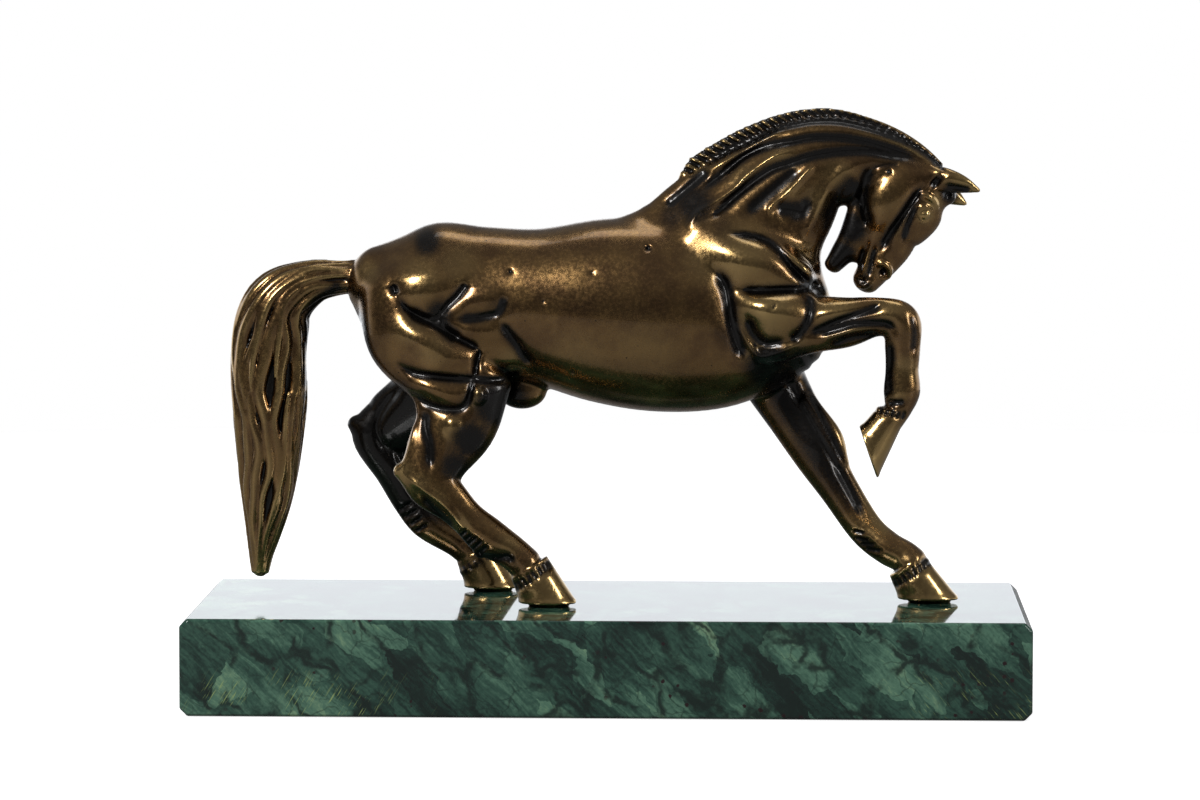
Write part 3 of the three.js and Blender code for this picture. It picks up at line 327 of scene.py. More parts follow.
def join(grid, cut, distance, blend):  # a soft union
    old = grid["values"][cut]
    new = np.minimum(old, distance)
    if blend > 0:
        share = np.maximum(blend - np.abs(old - distance), 0) / blend
        new -= share * share * (blend / 4)
    grid["values"][cut] = new


def addStrand(grid, stations, blend, perSpan=8):
    path = smoothPath(stations, perSpan)
    sizes = np.maximum(path[:, 3:5], 0.25)
    reach = sizes.max() + blend + 2.4
    whole, *_ = window(grid, path[:, :3].min(0) - reach, path[:, :3].max(0) + reach)
    distance = np.full([c.stop - c.start for c in whole], 20.0, np.float32)
    for a, b, sizeA, sizeB in zip(path, path[1:], sizes, sizes[1:]):
        a, b = a[:3], b[:3]
        length = np.linalg.norm(b - a)
        along = (b - a) / length
        across = np.array([0.0, 1.0, 0.0]) - along * along[1]
        across /= np.linalg.norm(across)
        normal = np.cross(across, along)
        reach = max(sizeA.max(), sizeB.max()) + blend + 2.4
        cut, x, y, z = window(grid, np.minimum(a, b) - reach, np.maximum(a, b) + reach)
        x, y, z = x - np.float32(a[0]), y - np.float32(a[1]), z - np.float32(a[2])
        run, out, side = [(x * np.float32(v[0]) + y * np.float32(v[1])) + z * np.float32(v[2]) for v in (along, normal, across)]
        t = np.clip(run * np.float32(1 / length), 0, 1)
        depth = sizeA[0] + (sizeB[0] - sizeA[0]) * t
        width = sizeA[1] + (sizeB[1] - sizeA[1]) * t
        cap = np.minimum(depth, width) * np.float32(0.8)
        near = roundDistance((out, side, run - t * np.float32(length)), (depth, width, cap))
        inner = tuple(slice(c.start - w.start, c.stop - w.start) for c, w in zip(cut, whole))
        distance[inner] = np.minimum(distance[inner], near)
    join(grid, whole, distance, blend)


def addBall(grid, place, radii, turn, blend):
    c, s = math.cos(math.radians(turn)), math.sin(math.radians(turn))
    reach = max(radii) + blend + 2.4
    cut, x, y, z = window(grid, np.array(place) - reach, np.array(place) + reach)
    x, y, z = x - place[0], y - place[1], z - place[2]
    join(grid, cut, roundDistance((x * c + z * s, y, z * c - x * s), radii), blend)


def addHoof(grid, sole, toeDown, size, lean, taper, top):
    length, width = size
    heel, rise = top
    c, s = math.cos(math.radians(toeDown)), math.sin(math.radians(toeDown))
    cut, x, y, z = window(grid, np.array(sole) - 2.6 * length, np.array(sole) + 2.6 * length)
    x, y, z = x - sole[0], y - sole[1], z - sole[2]
    forward, up = x * c - z * s, x * s + z * c
    height = np.maximum(up, 0)
    long = np.maximum(length - taper * height + 0.35 * np.exp(-(height / 0.9) ** 2), 2)
    wide = np.maximum(width - 0.12 * height + 0.3 * np.exp(-(height / 0.9) ** 2), 2)
    wall = (np.sqrt(((forward + lean * height) / long) ** 2 + (y / wide) ** 2) - 1) * wide * 0.85
    lid = (up - heel - rise * (forward + length)) / math.hypot(1, rise)
    distance = np.maximum(np.maximum(wall, -up), np.maximum(lid, forward - 0.95 * length))
    if toeDown == 0:  # the stub that the hoof stands on
        stub = (np.sqrt((forward / (0.72 * length)) ** 2 + (y / (0.72 * width)) ** 2) - 1) * 0.72 * width
        distance = np.minimum(distance, np.maximum(np.maximum(stub, -up - 2), up - 1))
    else:  # the hollow of the raised sole
        cup = 1.1 - np.sqrt((forward / (0.66 * length)) ** 2 + (y / (0.66 * width)) ** 2 + (up / 1.0) ** 2)
        distance = np.maximum(distance, cup * 1.2)
    join(grid, cut, distance, 0.5)


def refine(grid):  # halves the grid's step and rounds the forms a little
    v = grid["values"]
    for axis in range(3):
        v = np.moveaxis(v, axis, 0)
        wide = np.concatenate([v[:1], v, v[-1:]])
        new = np.empty((2 * len(v) - 1,) + v.shape[1:], np.float32)
        new[::2] = (wide[:-2] + 6 * wide[1:-1] + wide[2:]) / 8
        new[1::2] = (v[:-1] + v[1:]) / 2
        v = np.moveaxis(new, 0, axis)
    return {"low": grid["low"], "step": grid["step"] / 2, "values": np.ascontiguousarray(v)}


def blurred(values, passes):
    v = values
    for _ in range(passes):
        for axis in range(3):
            v = np.moveaxis(v, axis, 0)
            new = v * np.float32(0.5)
            new[1:] += v[:-1] * np.float32(0.25)
            new[:-1] += v[1:] * np.float32(0.25)
            new[0] += v[0] * np.float32(0.25)
            new[-1] += v[-1] * np.float32(0.25)
            v = np.moveaxis(new, 0, axis)
    return np.ascontiguousarray(v)


def drawStrokes(grid, marks, mounds):  # the depth and the dark patina of a side, seen square on
    v, low, step = grid["values"], grid["low"], grid["step"]
    relief, ink = np.zeros((2, v.shape[0], v.shape[2]), np.float32)
    across = (low[0] + step * np.arange(v.shape[0]))[:, None]
    upward = (low[2] + step * np.arange(v.shape[2]))[None, :]
    for x, z, long, tall, turn, height in mounds:
        c, s = math.cos(math.radians(turn)), math.sin(math.radians(turn))
        along, over = (across - x) * c + (upward - z) * s, (upward - z) * c - (across - x) * s
        relief -= height * np.exp(-((along / long) ** 2 + (over / tall) ** 2) ** 1.2)
    for width, depth, points in marks:
        path = smoothPath(points, 8)
        reach = 4.5 * width + step
        i0, k0 = np.maximum(np.floor((path.min(0) - reach - low[[0, 2]]) / step).astype(int), 0)
        i1, k1 = np.ceil((path.max(0) + reach - low[[0, 2]]) / step).astype(int) + 1
        x, z = across[i0:i1], upward[:, k0:k1]
        closest = np.full((x.shape[0], z.shape[1]), 1e9)
        level = np.zeros(closest.shape)
        for n, (a, b) in enumerate(zip(path, path[1:])):
            d = b - a
            t = np.clip(((x - a[0]) * d[0] + (z - a[1]) * d[1]) / max(d @ d, 1e-9), 0, 1)
            away = np.hypot(x - a[0] - t * d[0], z - a[1] - t * d[1])
            place = (n + t) / (len(path) - 1)
            level = np.where(away < closest, np.minimum(1, 0.35 + 5 * np.minimum(place, 1 - place)), level)
            closest = np.minimum(closest, away)
        if depth < 0:
            relief[i0:i1, k0:k1] += depth * level * np.exp(-(closest / width) ** 2)
            continue
        wide, sharp = np.exp(-(closest / (1.9 * width)) ** 2), np.exp(-(closest / (0.7 * width)) ** 2)
        relief[i0:i1, k0:k1] += depth * level * (0.5 * wide + 0.5 * sharp)
        stain = min(1, 0.3 + 0.8 * depth) * level * np.exp(-(closest / (1.2 * width + 0.3)) ** 2)
        ink[i0:i1, k0:k1] = np.maximum(ink[i0:i1, k0:k1], stain)
    return relief, ink


def pressRelief(grid, relief, side, between):  # onto what faces a side, between two places across the horse
    v, low, step = grid["values"], grid["low"], grid["step"]
    slope = np.zeros_like(v)
    slope[:, 1:-1] = (v[:, 2:] - v[:, :-2]) * np.float32(side / (2 * step))
    facing = np.clip(slope * np.float32(1.5), 0, 1)
    y = low[1] + step * np.arange(v.shape[1])
    facing *= ((y > between[0]) & (y < between[1]))[None, :, None] & (np.abs(v) < 5)
    v += facing * relief[:, None, :]


def skinAt(grid, x, z, side):  # how far out the skin stands at a place on a side
    v, low, step = grid["values"], grid["low"], grid["step"]
    column = v[int(round((x - low[0]) / step)), :, int(round((z - low[2]) / step))]
    y = low[1] + step * np.arange(len(column))
    inside = np.flatnonzero((column < 0) & (np.abs(y) < 8))
    at = inside[0 if side < 0 else -1] if len(inside) else int(round(-low[1] / step))
    before = at + side
    return y[at] + side * step * column[at] / min(column[at] - column[before], -1e-6)


def surfaceOf(grid):
    v, low, step = grid["values"], grid["low"], grid["step"]
    corners = [np.array([n & 1, (n >> 1) & 1, n >> 2]) for n in range(8)]

    def parts(corner):  # how many separate groups these corners of a cell make
        left, count = set(corner), 0
        while left:
            count, queue = count + 1, [left.pop()]
            while queue:
                at = queue.pop()
                for bit in (1, 2, 4):
                    if at ^ bit in left:
                        left.remove(at ^ bit)
                        queue.append(at ^ bit)
        return count

    unclear = np.array([parts([n for n in range(8) if m >> n & 1]) > 1 or parts([n for n in range(8) if not m >> n & 1]) > 1
                        for m in range(256)])
    while True:  # fills the cells where two parts of the surface would share an edge
        inside = v < 0
        count = np.zeros([n - 1 for n in v.shape], np.uint8)
        for c in corners:
            count += inside[c[0]:c[0] + count.shape[0], c[1]:c[1] + count.shape[1], c[2]:c[2] + count.shape[2]]
        cells = np.argwhere((count > 0) & (count < 8))
        values = np.stack([v[tuple((cells + c).T)] for c in corners])
        mask = sum((values[n] < 0).astype(int) << n for n in range(8))
        bad = unclear[mask]
        if not bad.any():
            break
        pick = np.where(values[:, bad] >= 0, values[:, bad], 1e9).argmin(0)
        at = cells[bad] + np.array(corners)[pick]
        v[tuple(at.T)] = -0.05 * step
    total, crossings = np.zeros((len(cells), 3)), np.zeros(len(cells))
    for m, n in itertools.combinations(range(8), 2):
        if (m ^ n) not in (1, 2, 4):
            continue
        a, b = values[m], values[n]
        cross = (a < 0) != (b < 0)
        t = np.where(cross, a / np.where(cross, a - b, 1), 0)
        total += np.where(cross[:, None], corners[m] + (corners[n] - corners[m]) * t[:, None], 0)
        crossings += cross
    points = low + step * (cells + total / crossings[:, None])
    number = np.full(count.shape, -1, np.int32)
    number[tuple(cells.T)] = np.arange(len(cells))
    quads = []
    for axis in range(3):
        u, w = np.eye(3, dtype=int)[(axis + 1) % 3], np.eye(3, dtype=int)[(axis + 2) % 3]
        ahead = np.roll(inside, -1, axis)
        edges = np.argwhere(inside != ahead)
        edges = edges[(edges > 0).all(1) & (edges < np.array(v.shape) - 1).all(1)]
        ring = np.stack([number[tuple((edges - s).T)] for s in (u + w, w, 0 * u, u)], 1)
        flip = ~inside[tuple(edges.T)]
        ring[flip] = ring[flip][:, ::-1]
        quads.append(ring)
    return points, np.vstack(quads)


def sample(values, low, step, points):  # the field between its samples
    place = (points - low) / step
    base = np.clip(np.floor(place).astype(int), 0, np.array(values.shape) - 2)
    t = place - base
    total = np.zeros(len(points))
    for n in range(8):
        c = np.array([n & 1, (n >> 1) & 1, n >> 2])
        total += np.prod(np.where(c, t, 1 - t), 1) * values[tuple((base + c).T)]
    return total


def sample2(values, points):  # a side's drawing, read at points of the horse
    low, step = np.array([horse["low"][0], horse["low"][2]]), horse["step"]
    place = (points[:, [0, 2]] - low) / step
    base = np.clip(np.floor(place).astype(int), 0, np.array(values.shape) - 2)
    (i, k), (s, t) = base.T, (place - base).T
    return ((values[i, k] * (1 - s) + values[i + 1, k] * s) * (1 - t)
            + (values[i, k + 1] * (1 - s) + values[i + 1, k + 1] * s) * t)


def slopeOf(values, low, step, points, reach):
    return np.stack([(sample(values, low, step, points + d) - sample(values, low, step, points - d)) / (2 * reach)
                     for d in np.eye(3) * reach], 1)


def settle(grid, points):  # moves points onto the field's zero surface
    v, low, step = grid["values"], grid["low"], grid["step"]
    for _ in range(2):
        slope = slopeOf(v, low, step, points, step)
        away = sample(v, low, step, points) / np.maximum((slope**2).sum(1), 0.2)
        points = points - slope * np.clip(away, -0.4 * step, 0.4 * step)[:, None]
    return points


def mirrored(stations):
    return [[s[0], -s[1], *s[2:]] for s in stations]


def buildBody(grid):
    def both(stations, blend):
        addStrand(grid, stations, blend)
        addStrand(grid, mirrored(stations), blend)

    addStrand(grid, body["trunk"], 0)
    addStrand(grid, body["neck"], 7)
    addStrand(grid, body["crest"], 4)
    both(body["haunch"], 4)
    both(body["shoulder"], 3)
    addStrand(grid, legs["nearHind"], 2.5)
    addStrand(grid, legs["nearHock"], 1.5)
    addStrand(grid, legs["farHind"], 2.5)
    addStrand(grid, legs["farHock"], 1.5)
    addStrand(grid, legs["farFore"], 3)
    addStrand(grid, legs["farKnee"], 1.5)
    addStrand(grid, legs["nearFore"], 2)
    addStrand(grid, body["upperArm"], 1.5)
    addStrand(grid, body["elbow"], 1.5)
    addStrand(grid, legs["nearTuft"], 1)
    addStrand(grid, legs["farTuft"], 1)
    for place, radii, turn, blend in bulges:
        addBall(grid, place, radii, turn, blend)


def addFace(grid):
    addStrand(grid, face["head"], 2)
    addStrand(grid, face["poll"], 1.5)
    addStrand(grid, face["lowerJaw"], 1.2)
    addStrand(grid, face["web"], 1)
    (x, y, z), radii, turn = face["cheek"]
    for side in (-1, 1):
        addBall(grid, (x, y * side, z), radii, turn, 0.8)
    addStrand(grid, face["nearEar"], 0.8)
    addStrand(grid, face["farEar"], 0.8)


def addFeatures(grid):  # the eyes, lids, nostrils and lips, laid on the skin
    x, z, radius = face["eye"]
    for side in (-1, 1):
        ridges = []
        for blend, points in face["ridges"]:
            ridges.append((blend, [[p[0], skinAt(grid, p[0], p[2], side) + side * (p[1] - 0.25), p[2], p[3], p[3]] for p in points]))
        eye = (x, skinAt(grid, x, z, side) - side * 0.55 * radius, z)
        addBall(grid, eye, (1.1 * radius, radius, 0.92 * radius), 30, 0.05)
        for blend, stations in ridges:
            addStrand(grid, stations, blend)


def addTail(grid):
    addStrand(grid, [[*s[:3], 0.74 * s[3], 0.74 * s[4]] for s in hair["tail"]], 1.5)
    middle = smoothPath(hair["tail"], 4)
    run = np.concatenate([[0], np.cumsum(np.linalg.norm(np.diff(middle[:, [0, 2]], axis=0), axis=1))])
    way = np.gradient(middle[:, [0, 2]], axis=0)
    way /= np.linalg.norm(way, axis=1)[:, None]
    wander, length = hair["wave"]

    def lay(turns, sizes, first, last, sink):  # a lock along the tail, at an angle round it
        lock = []
        for n in range(first, last):
            (x, y, z, depth, width), (tx, tz) = middle[n], way[n]
            flat, tall = sizes[n]
            out = math.cos(turns[n]) * (depth - tall * sink)
            c, d = abs(math.cos(turns[n])), abs(math.sin(turns[n]))
            lock.append([x + out * tz, y + math.sin(turns[n]) * (width - tall * sink), z - out * tx,
                         math.hypot(tall * c, flat * d), math.hypot(flat * c, tall * d)])
        addStrand(grid, lock, 0.12, 2)

    room = np.minimum(1, middle[:, 3] / 8)
    girth = 0.5 * (middle[:, 3] + middle[:, 4])
    flat, tall = hair["lockSize"]
    for n in range(hair["locks"]):
        start = 2 * math.pi * (n + 0.5 + random.uniform(-0.14, 0.14)) / hair["locks"]
        phase, second = 0.5 * n + random.uniform(-0.5, 0.5), random.uniform(0, 6.3)
        bend = wander * np.sin(run / length * 2 * math.pi + phase) + 0.3 * wander * np.sin(run / length * 5.1 * math.pi + second)
        swell = 1 + 0.16 * np.sin(run / 11.0 + second) + random.uniform(-0.06, 0.06)
        sizes = np.stack([flat * swell * room, tall * (0.3 + 0.7 * room)], 1)
        lay(start + bend * room / girth, sizes, 0, len(middle), 1.0)
    for n in range(hair["wisps"]):  # short pointed locks over the long ones
        first = int(random.integers(4, len(middle) - 14))
        last = min(first + int(random.integers(8, 14)), len(middle) - 1)
        start, drift, phase = random.uniform(0, 6.3), random.uniform(-0.5, 0.5), random.uniform(0, 6.3)
        part = np.clip((np.arange(len(middle)) - first) / (last - 1 - first), 0, 1)
        turns = start + drift * part + 0.7 * np.sin(run / length * 2 * math.pi + phase) * room / girth
        shape = np.sin(math.pi * part) ** 0.7
        sizes = np.stack([0.3 + 0.75 * shape * room, 0.3 + 0.7 * shape * room], 1)
        lay(turns, sizes, first, last, 0.75)


def addMane(grid):
    line = smoothPath(hair["mane"], 12)
    addStrand(grid, [[*s[:3], 0.8 * s[3], 0.8 * s[4]] for s in hair["mane"]], 0.8)
    run = np.concatenate([[0], np.cumsum(np.linalg.norm(np.diff(line[:, :3], axis=0), axis=1))])
    count = hair["tufts"]
    slits = []
    for n in range(count):
        x, y, z, half, width = [np.interp((n + 0.5) / count * run[-1], run, line[:, i]) for i in range(5)]
        fall = math.radians(hair["fall"][0] + (hair["fall"][1] - hair["fall"][0]) * n / count + random.uniform(-5, 5))
        dx, dz = math.cos(fall), math.sin(fall)
        size = random.uniform(0.9, 1.12)
        addBall(grid, (x + 0.2, 0, z - 0.2), (1.2 * half * size, width, 0.75 * size), 180 - math.degrees(fall), 0.12)
        x, y, z = [np.interp((n + 1.0) / count * run[-1], run, line[:, i]) for i in range(3)]
        long = 1.25 * half
        slits.append((0.36, 1.1, [[x - long * dx, z + long * dz], [x, z], [x + long * dx, z - long * dz]]))
    return slits


def coronetStrokes(path, count, length, lean):  # short curls of hair over a hoof's top
    path = smoothPath(path, 10)
    marks = []
    for n in range(count):
        x, z = path[int((n + 0.5) / count * (len(path) - 1))]
        a = math.radians(lean + random.uniform(-12, 12))
        dx, dz = 0.5 * length * math.cos(a), 0.5 * length * math.sin(a)
        marks.append((0.32, 0.7, [[x - dx, z - dz], [x + 0.2 * dz, z], [x + dx, z + dz]]))
    return marks


print("drawing the horse")
coarse = makeGrid(horse["low"], horse["high"], 2 * horse["step"])
buildBody(coarse)
fine = refine(coarse)
addFace(fine)
for name, hoof in hooves.items():
    addHoof(fine, **hoof)
for place, radii, turn in bands:
    addBall(fine, place, radii, turn, 0.5)
maneSlits = addMane(fine)
nearBands = (coronetStrokes([[-22.6, 4.4], [-20.6, 5.8], [-18.2, 7.4], [-15.8, 9.2], [-14.0, 10.2]], 8, 2.6, 122)
             + coronetStrokes([[68.2, 4.6], [70.2, 5.8], [72.6, 7.4], [75.0, 9.0], [76.8, 10.0]], 8, 2.6, 118)
             + coronetStrokes([[64.0, 47.6], [67.4, 46.9], [70.6, 46.2]], 5, 2.0, 70))
farBands = coronetStrokes([[-38, 4.2], [-35.8, 5.6], [-33.6, 7.0], [-31.2, 8.6], [-29.6, 9.6]], 7, 2.6, 122)
nearRelief, nearInk = drawStrokes(fine, strokes["both"] + strokes["near"] + maneSlits + nearBands, swells["near"])
farRelief, farInk = drawStrokes(fine, strokes["both"] + strokes["far"] + maneSlits + farBands, swells["far"])
pressRelief(fine, nearRelief, -1, (-30, 0))
pressRelief(fine, farRelief, 1, (0, 30))
innerRelief, innerInk = drawStrokes(fine, strokes["inner"], [])
pressRelief(fine, innerRelief, -1, (-8, 30))  # the near legs lie beyond -8
addFeatures(fine)
addTail(fine)
upward = fine["low"][2] + fine["step"] * np.arange(fine["values"].shape[2], dtype=np.float32)
fine["values"] = np.maximum(fine["values"], -upward[None, None, :])  # flat on the plinth
fine["values"] = np.maximum(fine["values"], (upward - horse["topMost"])[None, None, :])
points, quads = surfaceOf(fine)
points = settle(fine, points)
print("horse surface", len(points), "points,", 2 * len(quads), "triangles")


def meshFrom(name, points, faces):
    mesh = bpy.data.meshes.new(name)
    mesh.vertices.add(len(points))
    mesh.vertices.foreach_set("co", np.asarray(points, np.float32).ravel())
    mesh.loops.add(faces.size)
    mesh.loops.foreach_set("vertex_index", faces.astype(np.int32).ravel())
    mesh.polygons.add(len(faces))
    mesh.polygons.foreach_set("loop_start", np.arange(0, faces.size, faces.shape[1], dtype=np.int32))
    mesh.update(calc_edges=True)
    mesh.validate()
    return mesh


def link(name, mesh):
    piece = bpy.data.objects.new(name, mesh)
    bpy.context.scene.collection.objects.link(piece)
    return piece


casting = link("horse_casting", meshFrom("horse_casting", points, quads))
thin = casting.modifiers.new("fewer faces", "DECIMATE")
thin.ratio = min(1, horse["triangles"] / (2 * len(quads)))
bpy.context.view_layer.update()
light = bpy.data.meshes.new_from_object(casting.evaluated_get(bpy.context.evaluated_depsgraph_get()))
casting.modifiers.clear()
casting.data = light

# Masks read from the field: how far each point lies in a groove or hollow. The grooves get dark patina; the wide
# hollows, between the legs and under the body, get dark patina and painted shade.
count = len(light.vertices)
place = np.empty(3 * count, np.float32)
light.vertices.foreach_get("co", place)
place = settle(fine, place.reshape(-1, 3).astype(float))
place[:, 2] = np.where(place[:, 2] < 0.04, 0, place[:, 2])
low, step, field = fine["low"], fine["step"], fine["values"]
normals = slopeOf(field, low, step, place, step)
normals /= np.maximum(np.linalg.norm(normals, axis=1), 1e-6)[:, None]
groove = -sample(blurred(np.clip(field, -1.6, 1.6), 10 if step < 0.5 else 3), low, step, place)
wide = blurred(np.clip(field[::4, ::4, ::4], -4, 4), 6 if step < 0.5 else 2)
hollow = -sample(wide, low, 4 * step, place)
tailMask = 1 / (1 + np.exp((place[:, 0] + 60) / 1.2)) * (place[:, 2] > 3)
maneLine = smoothPath(hair["mane"], 6)
maneAway = np.min([np.hypot(place[:, 0] - m[0], place[:, 2] - m[2]) for m in maneLine], 0)
hairMask = np.maximum(tailMask, np.clip(1.8 - maneAway / 1.9, 0, 1))


def nearSpots(spots):
    total = np.zeros(count)
    for x, z, radius, strength in spots:
        away = np.hypot(place[:, 0] - x, place[:, 2] - z) / radius
        total = np.maximum(total, strength * np.exp(-away**3))
    return total


def along(stations, fade):  # 1 on a line seen from the side, 0 beyond its half width
    line = smoothPath(stations, 6)
    away = np.min([np.hypot(place[:, 0] - m[0], place[:, 2] - m[1]) - m[2] for m in line], 0)
    return 1 / (1 + np.exp(np.clip(away / fade, -30, 30)))


def soft(values, low, high):
    t = np.clip((values - low) / (high - low), 0, 1)
    return t * t * (3 - 2 * t)


# Gold spots: painted highlights where the lamps glint on the shoulder, arm, neck, head, haunch and lower legs, a
# painted pale reflection along the belly, and rubbed wear on the hooves: (x, z, radius, strength)
wearAndHighlight = nearSpots([
    (-14.3, 3, 7, 1), (77.5, 3.2, 7.5, 1), (-28.6, 4, 7, 0.9), (64.2, 38.6, 7.5, 1), (68.6, 52, 2.6, 0.5),
    (-50, 31.6, 3.6, 0.9), (-45.5, 29.4, 3, 0.7), (-41, 26, 2.6, 0.6), (-35.6, 19.6, 2.6, 0.8), (-24, 15, 3, 0.5),
    (75.3, 93.5, 2, 1), (77.6, 96.4, 2, 0.8), (84.6, 101, 4, 0.9), (85, 96, 2.4, 1),
    (31.4, 84, 7, 0.75), (24, 83.6, 6, 0.5), (37.4, 71.4, 7, 1), (54, 71.3, 5, 0.7), (67, 72.6, 4, 0.6),
    (70.4, 57.5, 3, 0.6), (46.6, 83, 3.4, 0.7), (36, 60.6, 4, 0.7), (45, 62.4, 3, 0.5), (58, 66.2, 3, 0.4),
    (50, 97, 4, 0.6), (54, 103, 4, 0.5), (41, 106.8, 4, 0.5), (32, 102.4, 4, 0.4), (43, 100, 3.4, 0.4),
    (20, 106.4, 4, 0.8), (66, 97, 4, 0.25), (61, 17, 5, 0.35), (69, 9, 4, 0.6),
    (-45, 78.4, 5, 0.55), (-36, 81.6, 5, 0.4), (-47.6, 66.6, 4, 0.5), (-41.6, 61.6, 4, 0.45), (-23, 58.6, 3.6, 0.6),
    (-31.6, 50.2, 3, 0.6), (-37.2, 42.4, 3.2, 0.55), (-58, 79.6, 2.6, 0.6), (-7, 57, 9, 0.35), (8, 60, 9, 0.3),
])
facing = -normals[:, 1]
ink = np.where(place[:, 1] < 0, sample2(nearInk, place), sample2(farInk, place)) * (tailMask < 0.5)
ink = np.maximum(ink, sample2(innerInk, place) * soft(facing, 0, 0.4) * (place[:, 1] > -8))
# Painted shade: dark patches on the near side, the hidden sides of the legs, the far legs, the haunch's rear edge and
# the seam by the tail, with a dark patina patch at the hip among them.
darkNear = nearSpots([(-43.8, 87, 4, 0.8), (-26, 72, 4, 0.45), (-40.4, 70, 4, 0.8), (-26, 48.6, 7, 0.95), (-33, 40, 5, 0.9),
                      (-36.6, 33.6, 4.4, 0.8), (44.6, 94.4, 3, 0.9), (58.6, 98.4, 4, 1), (57.6, 90.4, 4.6, 0.95), (55, 83.6, 4.4, 1),
                      (20, 96, 6, 0.75), (15, 93.4, 4, 0.6), (27, 91.4, 4, 0.35), (60.4, 77.6, 2.6, 0.7), (38.5, 57.6, 7, 0.95),
                      (46, 58, 5, 0.9), (29.4, 66, 5, 0.5), (81.4, 98.4, 2.6, 0.9), (-49.6, 52, 3, 0.5)])
shade = np.maximum(darkNear * (place[:, 1] < 12), 0.95 * along([[51.6, 90.6, 1], [54, 96, 1.2], [57, 100, 1.2]], 0.7))
shade = np.maximum(shade, 0.9 * soft(-facing, 0.0, 0.6) * (place[:, 1] < -5) * soft(place[:, 2], 56, 46))
shade = np.maximum(shade, 0.9 * soft(facing, -0.1, 0.5) * soft(place[:, 1], 3, 6) * soft(place[:, 2], 60, 52)
                   * soft(place[:, 2], 10, 22))
shade = np.maximum(shade, 0.9 * along([[37, 60, 5], [44, 48, 5], [52, 34, 4.2], [58, 25, 2.6]], 1.6) * (place[:, 1] > -8)
                   * soft(normals[:, 0], 0.85, 0.5))
shade = np.maximum(shade, 0.75 * soft(-normals[:, 0], 0.55, 0.9) * (place[:, 0] < -30) * (place[:, 0] > -64) * soft(place[:, 2], 48, 54)
                   * soft(place[:, 2], 74, 66))
shade = np.maximum(shade, 0.9 * along([[-66, 75.6, 1.4], [-71.6, 71.4, 1.2], [-73.4, 64, 1.2], [-73.4, 46, 1]], 0.5))
shade *= 1 - 0.85 * nearSpots([(-28.6, 4, 9, 1), (77.5, 3.2, 9, 1)])
# A lighter gold line down the far foreleg's front edge, where the painted shade is lifted.
frontEdge = along([[49, 55, 0.6], [53.6, 45, 0.8], [58.4, 34.6, 1.2], [62.4, 25, 1.6], [65.6, 18, 1.8]], 0.5)
wearAndHighlight = np.maximum(wearAndHighlight, 0.75 * frontEdge * (place[:, 1] > -8))
shade *= 1 - 0.8 * frontEdge

light.vertices.foreach_set("co", ((place + horse["offset"]) * 0.001).astype(np.float32).ravel())
for name, values in {"groove": groove, "hollow": hollow, "hair": hairMask, "wearAndHighlight": wearAndHighlight, "shade": shade, "ink": ink}.items():
    light.attributes.new(name, "FLOAT", "POINT").data.foreach_set("value", np.asarray(values, np.float32))
light.shade_smooth()
light.update()
light.normals_split_custom_set_from_vertices(normals.astype(np.float32))
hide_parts("horse")
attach(casting, "root")
print("horse casting", len(light.polygons), "triangles, top", round(float(place[:, 2].max()), 2))

stone = {
    "length": 200.0, "depth": 82.0, "height": 23.0,  # mm
    "endEdge": 1.8,  # ground edges across both ends
    "faceEdge": 0.55,  # finer edges round the front and the back
    "rounding": 0.14,
}


def buildStone():
    length, depth, height = stone["length"], stone["depth"], stone["height"]
    bm = bmesh.new()
    bmesh.ops.create_cube(bm, size=1)
    for v in bm.verts:
        v.co = Vector((v.co.x * length, v.co.y * depth, (v.co.z + 0.5) * height))
    ends = [e for e in bm.edges if abs(e.verts[0].co.y - e.verts[1].co.y) > 1]
    bmesh.ops.bevel(bm, geom=ends, offset=stone["endEdge"], segments=1, affect="EDGES")
    rims = [e for e in bm.edges if abs(abs(e.verts[0].co.y + e.verts[1].co.y) - depth) < 0.01]
    bmesh.ops.bevel(bm, geom=rims, offset=stone["faceEdge"], segments=1, affect="EDGES")
    hard = [e for e in bm.edges if len(e.link_faces) == 2 and e.calc_face_angle() > 0.3]
    bmesh.ops.bevel(bm, geom=hard, offset=stone["rounding"], segments=2, affect="EDGES")
    bmesh.ops.scale(bm, vec=(0.001, 0.001, 0.001), verts=bm.verts)
    mesh = bpy.data.meshes.new("stone_plinth")
    bm.to_mesh(mesh)
    bm.free()
    return mesh


plinth = link("stone_plinth", buildStone())
plinth.data.shade_smooth()
flatten = plinth.modifiers.new("even shading", "WEIGHTED_NORMAL")
flatten.keep_sharp = True
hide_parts("plinth")
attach(plinth, "root")
print("plinth built")


def add(tree, kind, inputs=None, **settings):  # a node, with its values and links
    node = tree.nodes.new(kind)
    for key, value in settings.items():
        setattr(node, key, value)
    for key, value in (inputs or {}).items():
        if isinstance(value, bpy.types.NodeSocket):
            tree.links.new(value, node.inputs[key])
        else:
            node.inputs[key].default_value = value
    return node


def math2(tree, operation, a, b=0.5, clamp=False):
    return add(tree, "ShaderNodeMath", {0: a, 1: b}, operation=operation, use_clamp=clamp).outputs[0]


def ramp(tree, value, low, high, toLow=0.0, toHigh=1.0):
    node = add(tree, "ShaderNodeMapRange", {0: value, 1: low, 2: high, 3: toLow, 4: toHigh}, interpolation_type="SMOOTHSTEP")
    return node.outputs[0]


def mixColour(tree, factor, a, b, blend="MIX"):
    node = add(tree, "ShaderNodeMix", {0: factor, 6: a, 7: b}, data_type="RGBA", blend_type=blend)
    return node.outputs[2]


def streaked(tree, vector, turn, size):  # turned about Y, then drawn out to a size in mm along each axis
    node = add(tree, "ShaderNodeMapping", {"Vector": vector, "Rotation": (0.0, turn, 0.0), "Scale": size}, vector_type="TEXTURE")
    return node.outputs[0]


